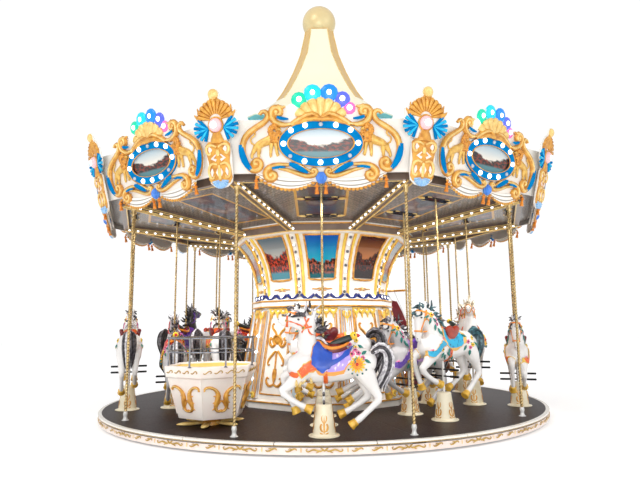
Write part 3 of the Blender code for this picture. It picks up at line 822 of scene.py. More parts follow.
def build_canopy():
    cartouche = carve_cartouche()
    shield = carve_shield()
    for carving in (cartouche, shield):
        by_direction(carving, GREY_BACK, lambda f: f.normal.y > 0.9 and f.center.y > 0.0)
    band = sector_solid("edge_band", BAND_PROFILE, WHITE)
    by_direction(band, GREY_BACK, lambda f: f.normal.y > 0.2)
    inside = 3.79 + (3.48 - EAVES_HEIGHT) * math.tan(FACE_LEAN) + 0.016
    outside = 3.985 + (3.707 - EAVES_HEIGHT) * math.tan(CORNER_LEAN) + 0.016
    for i in range(SECTORS):
        angle = i * SECTOR
        name = "rim_board_%02d" % (i + 1)
        pieces = [copy_to(band, name, turn(angle)),
                  copy_to(cartouche, "oval", facing(angle, inside, 3.48, FACE_LEAN)),
                  copy_to(shield, "corner", facing(angle - CORNER, outside, 3.707, CORNER_LEAN))]
        whole = gather(name, pieces)
        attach(whole, "turntable")
        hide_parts("canopy_panel_%02d" % (i + 1))
    throw_away(cartouche, shield, band)


# Deck, posts and stands
def build_floor():
    for i in range(5):
        start = -45.0 + 72.0 * i
        name = "deck_floor_%d" % (i + 1)
        floor = draw(name, [polar(r, start + 0.02, 0.113) for r in (0.63, 3.7)])
        floor = extrude(spin(floor, 24, 71.96), (0, 0, 0.0455))
        floor.data.materials.append(DECK_WOOD)
        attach(floor, "turntable")
        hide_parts("deck_plate_%d" % (i + 1))


def build_edge_strip():
    """White strip round the deck in twenty lengths with open seams."""
    profile = mm(((3700, 136), (3754, 136), (3757, 157), (3752, 161.5), (3700, 161.5)))
    strip = spin(draw("strip", [polar(r, -8.9, z) for r, z in profile], True), 6, 17.8)
    strip.data.materials.append(WHITE)
    edge = gather("deck_edge", [copy_to(strip, "edge", turn(18.0 * i)) for i in range(20)])
    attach(edge, "turntable")
    throw_away(strip)


def build_skirt_scrolls():
    """Gilt scrollwork and a bead on the skirt under the deck's edge."""
    flourish = carve("flourish", mirrored(mm([
        [(12, 2, 6), (40, -16, 11), (80, -6, 12), (118, 12, 10), (155, -4, 9), (185, -20, 9),
         (212, -4, 7), (206, 14, 6), (190, 10, 5)],
        [(0, -10, 10), (20, 16, 12), (44, 24, 5)],
        [(60, -12, 5), (74, -26, 7), (98, -26, 4)]])), RIM_GOLD, 0.5, 1)
    curl = carve("curl", mm([
        [(-66, -4, 5), (-58, -18, 8), (-30, -16, 10), (0, 0, 11), (30, 16, 10), (58, 14, 8),
         (66, 0, 5), (54, -2, 5)],
        [(-34, 10, 4), (-16, 18, 7), (6, 12, 4)]]), RIM_GOLD, 0.5, 1)
    drop = carve("drop", mm([[(0, 26, 3), (0, 0, 11), (0, -26, 3)]]), GOLD_PALE, 0.5, 1)
    row = ((flourish, 0.0), (drop, 4.05), (curl, 5.75), (curl, 9.25), (drop, 10.95))
    for part in range(4):
        carvings = [copy_to(shape, "s", turn(90.0 * part + 15.0 * i + at) @ shift(0, -RIM_RADIUS, 0.084))
                    for i in range(6) for shape, at in row]
        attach(gather("skirt_scrolls_%d" % (part + 1), carvings), "turntable")
    throw_away(flourish, curl, drop)
    bead = lathe("skirt_bead", [(3.744, 0.125), (3.753, 0.127), (3.753, 0.132), (3.744, 0.134)], 120,
                 RIM_GOLD)
    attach(bead, "turntable")


RIM_GOLD = painted("rim_gold", "#C9A24A", "#97702A", 20.0, 0.7, 0.2, 0.3, 0.2)
SKIRT_PINK = painted("skirt_cream", "#F5E7DF", "#EBD9CF", 3.0, 0.5, 0.0, 0.3, 0.05)


def twisted(name, low, high, radius, finish, lead=0.085):
    """Rope-twist tube: a ring with two lobes wound upward."""
    ring = []
    for i in range(8):
        a = 2 * math.pi * i / 8
        r = radius * (0.8 + 0.2 * math.cos(2 * a))
        ring.append((r * math.cos(a), r * math.sin(a), low))
    obj = draw(name, ring, True)
    edit(obj)
    bpy.ops.mesh.delete(type="ONLY_FACE")
    leave()
    turns = (high - low) / lead
    steps = int(turns * 5)
    apply_all(modify(obj, "SCREW", angle=2 * math.pi * turns, screw_offset=high - low, steps=steps,
                     render_steps=steps, use_merge_vertices=False))
    return finished(close_ends(obj), finish, 80.0)


def build_posts():
    rise = (RIB_END[1] - RIB_FOOT[1]) * (3.467 - RIB_FOOT[0]) / (RIB_END[0] - RIB_FOOT[0])
    top = RIB_FOOT[1] + rise
    shaft = twisted("shaft", 0.11, top - 0.05, 0.0235, BRASS)
    foot = lathe("foot", mm([
        (0, 0), (50, 0), (50, 6), (34, 14), (26, 40), (26, 60), (33, 85), (31, 105), (25, 125),
        (0, 125)]), 20, SILVER_WHITE)
    cap = lathe("cap", [(0.0, top - 0.09), (0.027, top - 0.09), (0.034, top - 0.07),
                        (0.03, top - 0.04), (0.05, top + 0.012), (0.0, top + 0.012)], 16, BRASS)
    post = gather("post", [shaft, foot, cap])
    for i in range(SECTORS):
        angle = CORNER + i * SECTOR
        piece = copy_to(post, "post_%02d" % (i + 1), shift(*polar(POST_RADIUS, angle, DECK)))
        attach(piece, "turntable")
    throw_away(post)


STAND_LEAN = 0.133


def build_stands():
    profile = mm([
        (0, 0), (188, 0), (190, 8), (184, 14), (150, 16), (144, 26), (140, 30), (120, 180), (98, 345),
        (97, 362), (90, 374), (80, 377), (30, 378), (20.5, 370), (20.5, 30), (0, 30)])
    cup = lathe("stand", profile, 28, STAND_CREAM, smooth=35.0)
    motif = mm([[(0, 40, 10), (0, 110, 22), (0, 190, 16), (0, 300, 5)]])
    motif += mirrored(mm([
        [(0, 60, 10), (36, 80, 15), (50, 130, 13), (30, 165, 9), (20, 140, 6)],
        [(0, 150, 8), (30, 190, 12), (34, 235, 9), (16, 255, 5)],
        [(0, 45, 8), (30, 42, 11), (52, 58, 5)]]))
    sprig = carve("sprig", motif, GOLD, 0.5, 0)
    lean = Matrix.Rotation(-STAND_LEAN, 4, "X")
    leaves = [copy_to(sprig, "sprig", turn(90.0 * i) @ shift(0, -0.14, 0.0) @ lean) for i in range(4)]
    throw_away(sprig)
    stand = gather("stand", [cup] + leaves)
    for number, radius, angle, _, _ in HORSES:
        piece = copy_to(stand, "pole_stand_%02d" % number, shift(*polar(radius, angle, DECK)) @ turn(angle))
        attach(piece, "turntable")
    throw_away(stand)


def deck_finish():
    """Dark varnished boards: seams along the spokes, scuffed unevenly."""
    material, tree, shader = new_finish("deck_boards")
    place, axes = where(tree)
    angle = calc(tree, "ARCTAN2", axes["Y"], axes["X"])
    wedge = calc(tree, "PINGPONG", calc(tree, "MULTIPLY", angle, 20.0 / (2.0 * math.pi)), 0.5)
    seam = remap(tree, wedge, From_Min=0.0, From_Max=0.012)
    tint = mix(tree, noise(tree, place, 2.2, 8.0), "#190C0B", "#301C1A")
    rough = remap(tree, noise(tree, place, 60.0, 4.0), To_Min=0.34, To_Max=0.6)
    fill(tree, shader, Base_Color=mix(tree, seam, "#120C0B", tint), Roughness=rough,
         Normal=relief(tree, seam, 0.6, 0.004), Specular_IOR_Level=0.3)
    return material


DECK_WOOD = deck_finish()
BRASS = painted("twisted_brass", "#E4C88C", "#9C7A4A", 18.0, 0.7, 0.7, 0.2, 0.1, 0.26)
SILVER_WHITE = painted("silver_white", "#ECEBE8", "#C9C8C6", 8.0, 0.5, 0.2, 0.4, 0.05)
STAND_CREAM = painted("stand_cream", "#FBF0D4", "#E9DCB4", 5.0, 0.6, 0.0, 0.3, 0.1)
CHROME = painted("chrome_rail", "#9A9CA4", "#6C6E76", 6.0, 0.4, 0.95, 0.0, 0.05, 0.16)
TAUPE = painted("ceiling_taupe", "#7E6A5C", "#5E4E44", 5.0, 0.6, 0.0, 0.2, 0.1)


# Roof
SPIRE = mm([
    (1240, 4870), (1095, 4990), (953, 5152), (784, 5356), (681, 5558), (580, 5803), (487, 6049),
    (365, 6440), (280, 6870), (265, 6970)])


def spire_corner(w):
    return w - min(0.135, 0.39 * w)


def spire_strip(name, near, far, finish):
    """Skin between two drawn edge lines, bridged."""
    strip = gather(name, [draw(name, near), draw(name, far)])
    edit(strip)
    bpy.ops.mesh.bridge_edge_loops()
    leave()
    strip.data.materials.append(finish)
    return strip


def build_spire():
    """Spire of four broad faces and four corner bands, with gilt trim."""
    flat = [(spire_corner(w), -w, z + DECK) for w, z in SPIRE]
    side = [(-x, y, z) for x, y, z in flat]
    corner = [(-y, -x, z) for x, y, z in flat]
    parts = []
    for i in range(4):
        for start, lines in (("face", (side, flat)), ("corner", (flat, corner))):
            piece = spire_strip(start, *lines, CREAM)
            if start == "corner":
                by_direction(piece, TAN_GOLD, lambda f: f.center.z > 5.356 + DECK)
            parts.append(move(piece, turn(90.0 * i)))
    spire = gather("roof_spire", parts)
    outward(spire)
    round_off(close_ends(spire), 20.0)
    trims = []
    for i in range(4):
        for x_sign in (-1, 1):
            strand = [(x_sign * x, y - 0.002, z, 0.009) for x, y, z in flat if z > 5.3 + DECK]
            trims.append(move(rods("trim", [strand], GOLD_PALE), turn(90.0 * i)))
    foot = [(x, y - 0.004, z, 0.016) for x, y, z in (side[0], flat[0], corner[0])]
    trims += [move(rods("trim", [foot], CREAM), turn(90.0 * i)) for i in range(4)]
    whole = gather("roof_spire", [spire] + trims)
    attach(whole, "turntable")
    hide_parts("spire")


def build_ball():
    ball = globe("top_ball", (0, 0, 7.225 + DECK), 0.328, BALL_GOLD, 40, 24)
    neck = lathe("neck", mm([
        (0, 6955), (255, 6955), (262, 6975), (240, 6990), (170, 7000), (0, 7000)]), 32, TAN_GOLD)
    move(neck, shift(0, 0, DECK))
    whole = gather("top_ball", [ball, neck])
    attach(whole, "turntable")
    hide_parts("spire_ball")


def build_roof_seams():
    """Seams of the lower roof, heavier at its ten corners."""
    seams = []
    for i in range(SECTORS * 4):
        at = i * SECTOR / 4
        off = at % SECTOR
        reach = 1.0
        if i % 4 != 2:
            reach = math.cos(math.radians(CORNER)) / math.cos(math.radians(min(off, SECTOR - off)))
        strand = [tuple(polar(r * reach, at, z + DECK)) + (0.012 if i % 4 == 2 else 0.006,)
                  for r, z in ((3.975, 3.752), (1.25, 4.853))]
        seams.append(rods("seam", [strand], ROOF_SEAM))
    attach(gather("roof_seams", seams), "turntable")


ROOF_SEAM = painted("roof_seam", "#9AD9E8", "#7CC4D6", 3.0, 0.4, 0.0, 0.0, 0.05, 0.9)


def dress(name, finish):
    """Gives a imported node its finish."""
    for slot in bpy.data.objects[name].material_slots:
        slot.material = finish


def dress_frame():
    for finish in (BLUE, TURQUOISE, ROOF_CYAN, ROOF_SEAM):
        finish.node_tree.nodes["Principled BSDF"].inputs["Specular IOR Level"].default_value = 0.0
    for name, finish in (("ground_base", STEEL), ("turn_frame", STEEL), ("centre_mast", STEEL),
                         ("deck_skirt", SKIRT_PINK), ("lower_roof", ROOF_CYAN),
                         ("roof_frame", TAUPE), ("centre_drum", WHITE), ("centre_flare", WHITE)):
        dress(name, finish)
    for i in range(5):
        dress("ceiling_bay_%d" % (i + 1), CEILING)


def set_floor():
    """White studio floor, faintly clouded."""
    pick()
    bpy.ops.mesh.primitive_plane_add(size=90.0, location=(0, 0, 0))
    floor = bpy.context.object
    floor.name = "studio_floor"
    material, tree, shader = new_finish("studio_floor")
    place, _ = where(tree)
    fill(tree, shader, Base_Color=remap(tree, noise(tree, place, 0.3), To_Min=0.95, To_Max=0.98),
         Roughness=0.9, Emission_Color="#FFFFFF", Emission_Strength=0.27)
    floor.data.materials.append(material)


def set_world():
    """White surroundings, a little brighter to the camera than to the pieces."""
    world = bpy.context.scene.world or bpy.data.worlds.new("studio")
    bpy.context.scene.world = world
    world.use_nodes = True
    tree = world.node_tree
    seen = tree.nodes.new("ShaderNodeLightPath").outputs["Is Camera Ray"]
    fill(tree, tree.nodes["Background"], Color="#FFFFFF",
         Strength=remap(tree, seen, To_Min=0.76, To_Max=1.05))
    bpy.context.scene.view_settings.view_transform = "Standard"


def set_lights():
    lights = [("key", Vector((-9.0, -14.0, 13.0)), Vector((0, 0, 2.5)), 9.0, 620.0),
              ("fill", Vector((12.0, -10.0, 7.0)), Vector((0, 0, 2.5)), 10.0, 190.0),
              ("low", Vector((0.0, -13.0, 2.0)), Vector((0, 0, 2.0)), 6.0, 240.0),
              ("back", Vector((2.0, 14.0, 10.0)), Vector((0, 0, 2.5)), 10.0, 260.0)]
    for i in range(SECTORS):
        lights.append(("ceiling_light_%02d" % (i + 1), polar(3.25, SECTOR * i, 3.08), Vector((0, 0, -0.8)),
                       0.5, 16.0))
    for name, at, target, size, power in lights:
        light = bpy.data.lights.new(name, "AREA")
        light.shape = "DISK"
        light.size = size
        light.energy = power
        light.spread = math.radians(180 if size > 1.0 else 110)
        lamp = bpy.data.objects.new(name, light)
        bpy.context.scene.collection.objects.link(lamp)
        lamp.visible_camera = False
        lamp.visible_glossy = size > 1.0
        lamp.location = at
        lamp.rotation_euler = (target - at).to_track_quat("-Z", "Y").to_euler()


def set_camera():
    lens = bpy.data.cameras.new("photo_view")
    lens.lens = 31.3
    lens.sensor_width = 36.0
    lens.clip_end = 200.0
    camera = bpy.data.objects.new("photo_view", lens)
    bpy.context.scene.collection.objects.link(camera)
    camera.matrix_world = (Matrix.Translation((-0.018, -10.281, 1.479)) @ Matrix.Rotation(0.001, 4, "Z")
                           @ Matrix.Rotation(math.pi / 2 + 0.151, 4, "X")
                           @ Matrix.Rotation(-0.011, 4, "Z"))
    bpy.context.scene.camera = camera


# Horses
LEG_STRANDS = mm([
    [(440, -100, 820, 135), (530, -110, 680, 110), (600, -110, 555, 70), (655, -110, 455, 52),
     (650, -110, 415, 48), (575, -110, 340, 38), (480, -110, 255, 36), (415, -110, 200, 43),
     (375, -110, 170, 37)],
    [(440, 100, 820, 130), (470, 110, 700, 104), (505, 110, 580, 68), (545, 110, 475, 52),
     (530, 110, 430, 47), (435, 110, 360, 37), (330, 110, 295, 35), (280, 110, 268, 42),
     (250, 110, 255, 36)],
    [(-220, -90, 800, 120), (-310, -100, 700, 90), (-420, -100, 600, 62), (-490, -100, 548, 54),
     (-482, -100, 505, 46), (-400, -100, 440, 37), (-300, -100, 382, 35), (-245, -100, 356, 42),
     (-210, -100, 340, 36)],
    [(-220, 90, 800, 120), (-330, 100, 750, 90), (-430, 100, 715, 64), (-485, 100, 690, 55),
     (-485, 100, 640, 47), (-445, 100, 520, 37), (-395, 100, 400, 35), (-370, 100, 350, 41),
     (-358, 100, 320, 36)]])
BODY_STRANDS = mm([
    [(540, 0, 880, 120), (470, 0, 870, 165), (380, 0, 855, 185), (220, 0, 815, 180), (50, 0, 800, 185),
     (-100, 0, 810, 195), (-220, 0, 840, 185), (-310, 0, 830, 145), (-360, 0, 800, 90)],
    [(400, -70, 880, 150), (530, -60, 850, 120)],
    [(400, 70, 880, 150), (530, 60, 850, 120)],
    [(-200, -80, 860, 130), (-260, -90, 750, 100)],
    [(-200, 80, 860, 130), (-260, 90, 750, 100)]])
POSTURES = {
    "proud": {
        "neck": mm([
            (-80, 0, 940, 145), (-165, 0, 1000, 152), (-200, 0, 1100, 130), (-195, 0, 1200, 108),
            (-180, 0, 1290, 94), (-160, 0, 1345, 78)]),
        "head": mm([
            (-150, 0, 1365, 74), (-215, 0, 1350, 90), (-275, 0, 1352, 82), (-350, 0, 1366, 62),
            (-430, 0, 1374, 49), (-495, 0, 1378, 47), (-526, 0, 1376, 41)]),
        "jaw": mm([
            (-225, 0, 1300, 72), (-300, 0, 1308, 52), (-380, 0, 1328, 34), (-450, 0, 1334, 28),
            (-500, 0, 1330, 27)]),
        "ears": (-0.125, 1.425, 0.045, 0.07),
        "eye": (-0.3, 1.385), "nostril": (-0.548, 1.388),
        "bands": [((-0.455, 0, 1.356), (1, 0, -0.05), 0.11, 0.02),
                  ((-0.205, 0, 1.33), (1, 0, 0.3), 0.15, 0.022)],
        "straps": mm([
            [(-445, 1372), (-330, 1322), (-235, 1280)],
            [(-235, 1280), (-200, 1345), (-165, 1410)],
            [(-235, 1280), (-285, 1235)],
            [(-235, 1280), (-130, 1300)]]),
        "jewel": (-0.235, 1.28), "bit": (-0.45, 1.372),
    },
    "tucked": {
        "neck": mm([
            (-80, 0, 940, 145), (-165, 0, 990, 152), (-205, 0, 1080, 140), (-250, 0, 1170, 124),
            (-310, 0, 1255, 104), (-360, 0, 1310, 80)]),
        "head": mm([
            (-385, 0, 1300, 74), (-422, 0, 1235, 86), (-445, 0, 1145, 70), (-458, 0, 1060, 54),
            (-464, 0, 985, 48), (-466, 0, 930, 42)]),
        "jaw": mm([
            (-370, 0, 1215, 62), (-402, 0, 1130, 44), (-428, 0, 1040, 32), (-442, 0, 970, 28),
            (-446, 0, 935, 25)]),
        "ears": (-0.352, 1.37, 0.01, 0.08),
        "eye": (-0.458, 1.222), "nostril": (-0.5, 0.935),
        "bands": [((-0.452, 0, 1.02), (0.1, 0, 1), 0.1, 0.02),
                  ((-0.385, 0, 1.29), (0.45, 0, 1), 0.15, 0.022)],
        "straps": mm([
            [(-448, 1030), (-415, 1120), (-380, 1205)],
            [(-380, 1205), (-375, 1270), (-365, 1330)],
            [(-380, 1205), (-340, 1165)]]),
        "jewel": (-0.38, 1.205), "bit": (-0.448, 1.03),
    },
}


def coat_finish(name, colour, shade):
    return painted(name, colour, shade, 3.5, 0.6, 0.0, 0.6, 0.05)


COATS = {
    "white": coat_finish("coat_white", "#F4F1EE", "#DDD8D4"),
    "grey": coat_finish("coat_grey", "#C9C6C6", "#8E8A8C"),
    "black": coat_finish("coat_black", "#2A2727", "#131112"),
    "brown": coat_finish("coat_brown", "#7A4A2C", "#4E2B18"),
}


def combed_hair_group():
    """Carved hair: two tones of the hair mixed by noise, with painted shade in the grooves where the bumps
    are low, and the crests lighter.
    """
    group, given, out = effect_group(
        "combed_hair", [("Light", "Color", (1, 1, 1, 1)), ("Dark", "Color", (0, 0, 0, 1))],
        [("Colour", "Color"), ("Height", "Float")])
    place, _ = where(group)
    comb = noise(group, place, 26.0, 4.0)
    # Painted shade: the colour follows the bump height, dark in the grooves and light on the crests
    level = remap(group, comb, From_Min=0.42, From_Max=0.58)
    fill(group, out, Colour=mix(group, level, given["Dark"], given["Light"]), Height=comb)
    return group


def saddle_cloth_group():
    """Painted saddle cloth: spotted ground with a border, by UV."""
    group, given, out = effect_group(
        "saddle_cloth", [(label, "Color", (1, 1, 1, 1)) for label in ("Ground", "Spots", "Edge")],
        [("Colour", "Color"), ("Height", "Float")])
    place, axes = where(group, "UV")
    far = [calc(group, "ABSOLUTE", calc(group, "SUBTRACT", axes[axis], 0.5)) for axis in ("X", "Y")]
    border = calc(group, "GREATER_THAN", calc(group, "MAXIMUM", *far), 0.44)
    cells = node(group, "TexVoronoi", Vector=place, Scale=9.0).outputs["Distance"]
    dots = calc(group, "LESS_THAN", cells, 0.28)
    spotted = mix(group, dots, given["Ground"], given["Spots"])
    fill(group, out, Colour=mix(group, border, spotted, given["Edge"]),
         Height=calc(group, "MAXIMUM", dots, border))
    return group


def relief_finish(name, group, coat, **colours):
    """Finish whose group gives a colour and a height."""
    material, tree, shader = new_finish(name)
    made = grouped(tree, group, **colours)
    fill(tree, shader, Base_Color=made["Colour"], Normal=relief(tree, made["Height"], 0.5, 0.004),
         Roughness=0.35, Coat_Weight=coat)
    return material


COMBED_HAIR = combed_hair_group()
SADDLE_CLOTH = saddle_cloth_group()


def strand_hair(name, light, dark):
    return relief_finish(name, COMBED_HAIR, 0.3, Light=light, Dark=dark)


def cloth_finish(name, ground, spots, edge):
    return relief_finish(name, SADDLE_CLOTH, 0.4, Ground=ground, Spots=spots, Edge=edge)


HAIR = {
    "grey": strand_hair("mane_grey", "#5A575C", "#1E1B22"),
    "teal": strand_hair("mane_teal", "#2E5058", "#0A1E24"),
    "black": strand_hair("mane_black", "#343034", "#0A0809"),
    "cream": strand_hair("mane_cream", "#E8DCC2", "#9C8C70"),
}
STREAKS = {
    "grey": strand_hair("streak_white", "#F0EEF0", "#B4B0B6"),
    "teal": strand_hair("streak_teal", "#4E7A84", "#1C4048"),
    "black": strand_hair("streak_smoke", "#8A868A", "#4C484C"),
    "cream": strand_hair("streak_cream", "#FAF4E6", "#D6C8AC"),
}


MAROON = painted("saddle_maroon", "#7A1C1E", "#45090C", 12.0, 0.6, 0.0, 0.5, 0.15)
STRAP_ORANGE = painted("strap_orange", "#EC6A22", "#C8480F", 20.0, 0.6, 0.0, 0.4, 0.2)
ROYAL = painted("flap_blue", "#1D55C4", "#123C96", 9.0, 0.6, 0.0, 0.5, 0.15)
PURPLE = painted("strap_purple", "#6F42AE", "#4A2880", 12.0, 0.6, 0.0, 0.5, 0.15)
LEAF_GREEN = painted("leaf_green", "#1F8478", "#0E5A50", 30.0, 0.7, 0.0, 0.4, 0.3)
HEART_RED = painted("heart_red", "#B23A1E", "#7E1E0E", 9.0, 0.6, 0.0, 0.6, 0.1)
RED = painted("flap_red", "#D22A1E", "#98140E", 9.0, 0.6, 0.0, 0.5, 0.15)
PINK = painted("petal_pink", "#F27FAE", "#D84E88", 40.0, 0.6, 0.0, 0.4, 0.1)
YELLOW = painted("petal_yellow", "#FBDA3C", "#EDA51C", 40.0, 0.6, 0.0, 0.4, 0.1)
SUN_ORANGE = painted("sun_orange", "#F7A22C", "#E4641C", 22.0, 0.8, 0.0, 0.4, 0.2)
ROLL_GREEN = painted("roll_dark", "#22302C", "#0C1412", 14.0, 0.6, 0.0, 0.4, 0.2)
PEG_BLACK = painted("peg_black", "#1C1C1E", "#0C0C0D", 20.0, 0.5, 0.3, 0.3, 0.2)
EYE = painted("eye_dark", "#1A100C", "#050303", 20.0, 0.5, 0.0, 1.0, 0.0, 0.08)
LAVENDER_CLOTH = cloth_finish("cloth_lavender", "#B69CF0", "#E9D9FF", "#F0A24A")
TURQUOISE_CLOTH = cloth_finish("cloth_turquoise", "#22A9D2", "#1685B0", "#E6B45C")
ORANGE_CLOTH = cloth_finish("cloth_orange", "#E8622A", "#F49A50", "#E6BC50")
VIOLET_CLOTH = cloth_finish("cloth_violet", "#5C3C9C", "#8A6CC8", "#B98AC8")
NAVY_CLOTH = cloth_finish("cloth_navy", "#1D2F6E", "#5C78C4", "#D9A13C")

LOOKS = {
    1: ("white", "grey", "bright"), 2: ("white", "black", "warm"), 3: ("white", "black", "violet"),
    4: ("white", "teal", "bright"), 5: ("grey", "black", "violet"), 6: ("white", "grey", "warm"),
    7: ("white", "cream", "warm"), 8: ("grey", "black", "violet"), 9: ("white", "cream", "bright"),
    10: ("brown", "black", "navy"), 11: ("white", "grey", "violet"), 12: ("brown", "cream", "warm"),
    13: ("black", "black", "navy"), 14: ("grey", "black", "warm"), 15: ("black", "grey", "bright"),
    16: ("black", "black", "violet"), 17: ("grey", "grey", "bright"), 18: ("white", "grey", "warm"),
    19: ("grey", "grey", "navy"), 20: ("white", "black", "warm"),
}
DRESS_SWAPS = {
    "bright": {},
    "warm": {LAVENDER_CLOTH: ORANGE_CLOTH, ROYAL: RED, TURQUOISE_CLOTH: ORANGE_CLOTH,
             HEART_RED: MAROON, STRAP_ORANGE: SUN_ORANGE},
    "violet": {LAVENDER_CLOTH: VIOLET_CLOTH, ROYAL: PURPLE, TURQUOISE_CLOTH: VIOLET_CLOTH,
               STRAP_ORANGE: PURPLE, ORANGE_CLOTH: VIOLET_CLOTH, HEART_RED: PURPLE},
    "navy": {LAVENDER_CLOTH: NAVY_CLOTH, ROYAL: RED, TURQUOISE_CLOTH: NAVY_CLOTH,
             ORANGE_CLOTH: NAVY_CLOTH, STRAP_ORANGE: RED},
}


def hug(obj, body, offset, wall):
    """Lays a thin piece on the horse's skin and gives it a thickness."""
    modify(obj, "SHRINKWRAP", target=body, wrap_method="NEAREST_SURFACEPOINT",
           wrap_mode="ABOVE_SURFACE", offset=offset)
    apply_all(modify(obj, "SOLIDIFY", thickness=wall, offset=0.0))
    return outward(obj)


def band_round(name, centre, axis, radius, width, body, finish, offset=0.008, count=28):
    """Band round the body, neck or head, drawn tight on its skin."""
    pick()
    spin_to = Vector(axis).to_track_quat("Z", "Y").to_euler()
    bpy.ops.mesh.primitive_circle_add(vertices=count, radius=radius, location=centre, rotation=spin_to)
    obj = bpy.context.object
    bpy.ops.object.transform_apply(location=True, rotation=True, scale=True)
    obj.name = name
    extrude(obj, Vector(axis).normalized() * width)
    return finished(hug(obj, body, offset, 0.009), finish, 60.0)


def around(x, z, side, out=0.26):
    """Point off the flank, level with a place on it."""
    a = math.acos(max(-1.0, min(1.0, (z - 0.82) / 0.2)))
    return Vector((x, side * out * math.sin(a), 0.82 + out * math.cos(a)))


def flank(side, *places):
    """Path over one flank: (x, z), with a third number that draws it in to the middle."""
    return [around(x, z, side * (inward[0] if inward else 1)) for x, z, *inward in places]


def strap(name, path, width, body, finish, lift=0.01, wall=0.008, along=16, across=2):
    """Ribbon laid on the skin along a path of points."""
    def place(x, y):
        s = (x + 0.5) * (len(path) - 1)
        k = min(int(s), len(path) - 2)
        way = path[k + 1] - path[k]
        aside = Vector((-way.z, 0, way.x)).normalized()
        return path[k].lerp(path[k + 1], s - k) + aside * (y * width)

    return finished(hug(grid(name, along, across, place), body, lift, wall), finish, 60.0)


def drape(name, x0, x1, degrees, body, finish, offset, wall, rounded, along=22, sharp=4):
    """Cloth laid over the back between two places along it."""
    def place(x, y):
        t = y * 2.0
        pinch = 1.0 - rounded * abs(t) ** sharp
        a = math.radians(degrees * (1.0 - 0.25 * rounded * (2 * x) ** 2)) * t
        return (x0 + x1) / 2 + x * (x1 - x0) * pinch, 0.27 * math.sin(a), 0.8 + 0.27 * math.cos(a)

    return finished(hug(grid(name, 12, along, place), body, offset, wall), finish, 60.0)


def on_skin(body, x, z, side, lift=0.004):
    """Place on the flank with +Z along the skin's normal."""
    found, at, normal, _ = body.ray_cast(Vector((x, side * 0.6, z)), Vector((0, -side, 0)))
    if not found:
        at, normal = Vector((x, side * 0.12, z)), Vector((0, side, 0))
    return Matrix.Translation(at + normal * lift) @ normal.to_track_quat("Z", "Y").to_matrix().to_4x4()


def hoof(at, toward, name="hoof"):
    axis = (Vector(toward) - Vector(at)).normalized()
    shape = lathe(name, mm([
        (0, -16), (40, -16), (50, 0), (46, 12), (60, 70), (53, 78), (0, 74)]), 12, HOOF_GOLD)
    return move(shape, Matrix.Translation(at) @ axis.to_track_quat("Z", "Y").to_matrix().to_4x4())


HOOF_GOLD = painted("hoof_gold", "#F2C24A", "#C98A22", 16.0, 0.6, 0.2, 0.4, 0.1)


def blossom(name, radius, finish, petals=5):
    """Carved flower facing up, with a dark middle."""
    parts = [globe(name, (0, 0, radius * 0.2), radius * 0.3, EYE, 6, 3)]
    for i in range(petals):
        a = 2 * math.pi * i / petals
        petal = globe(name, (0, 0, 0), radius * 0.46, finish, 6, 3, 1.0)
        parts.append(move(petal, shift(radius * 0.6 * math.cos(a), radius * 0.6 * math.sin(a), 0)
                          @ Matrix.Diagonal((1, 1, 0.45, 1))))
    return gather(name, parts)


def leaf(name, length, finish):
    """Carved leaf lying flat, pointing along +X."""
    shape = rods(name, [[(0.0, 0.0, 0.0, 0.004), (length * 0.3, 0.0, 0.006, length * 0.22),
                         (length * 0.62, 0.0, 0.008, length * 0.2), (length, 0.0, 0.0, 0.003)]], finish)
    return move(shape, Matrix.Diagonal((1, 1, 0.4, 1)))


def sun_rosette(name, radius):
    """Sun-shaped boss with rays and a ring of jewels below, facing up; -Y is down the flank."""
    parts = [lathe(name, [(0.0, 0.0), (radius * 0.62, 0.0), (radius * 0.66, 0.012), (radius * 0.45, 0.02),
                          (radius * 0.3, 0.014), (0.0, 0.026)], 20, SUN_ORANGE)]
    rays = []
    for i in range(14):
        a = 2 * math.pi * i / 14
        rays.append([(radius * 0.45 * math.cos(a), radius * 0.45 * math.sin(a), 0.006, radius * 0.12),
                     (radius * 0.8 * math.cos(a), radius * 0.8 * math.sin(a), 0.006, radius * 0.13),
                     (radius * 1.02 * math.cos(a), radius * 1.02 * math.sin(a), 0.004, radius * 0.03)])
    parts.append(rods(name, rays, YELLOW, 0))
    parts.append(globe(name, (0, 0, 0.02), radius * 0.2, RED, 10, 6))
    for i in range(5):
        a = math.radians(-150 + 30 * i)
        parts.append(globe(name, (radius * 1.22 * math.cos(a), radius * 1.22 * math.sin(a), 0.002),
                           radius * 0.13, JEWEL, 8, 5))
    return gather(name, parts)


JEWEL = painted("jewel_green", "#0E6A66", "#06343A", 30.0, 0.5, 0.0, 1.0, 0.0, 0.08)


def hanging_tassel(name, length=0.07):
    """Cream and gold drop with +Y up and +Z off the skin."""
    profile = [(0.0, 0.006), (0.008, 0.004), (0.006, -0.006), (0.014, -0.016), (0.017, -length * 0.6),
               (0.02, -length), (0.0, -length)]
    return move(lathe(name, profile, 8, TASSEL_CREAM), turn(-90, "X"))


TASSEL_CREAM = painted("tassel_cream", "#F4DE9C", "#D9A850", 30.0, 0.7, 0.1, 0.3, 0.3)


def upright(matrix):
    """Turns a place on the skin so that its Y axis points up the flank."""
    out = matrix.to_3x3().col[2]
    aside = Vector((0, 0, 1)).cross(out).normalized()
    up = out.cross(aside)
    turned = Matrix((aside, up, out)).transposed().to_4x4()
    return Matrix.Translation(matrix.translation) @ turned


def scatter(body, model, name, places, side, spin=0.0):
    """Copies a small carving to places on one flank: (x, z) or (x, z, turn, size)."""
    made = []
    for place in places:
        x, z = place[:2]
        angle = place[2] if len(place) > 2 else spin
        size = place[3] if len(place) > 3 else 1.0
        if side > 0:
            angle = 180.0 - angle
        made.append(copy_to(model, name, upright(on_skin(body, x, z, side)) @ turn(angle)
                            @ Matrix.Scale(size, 4)))
    return made


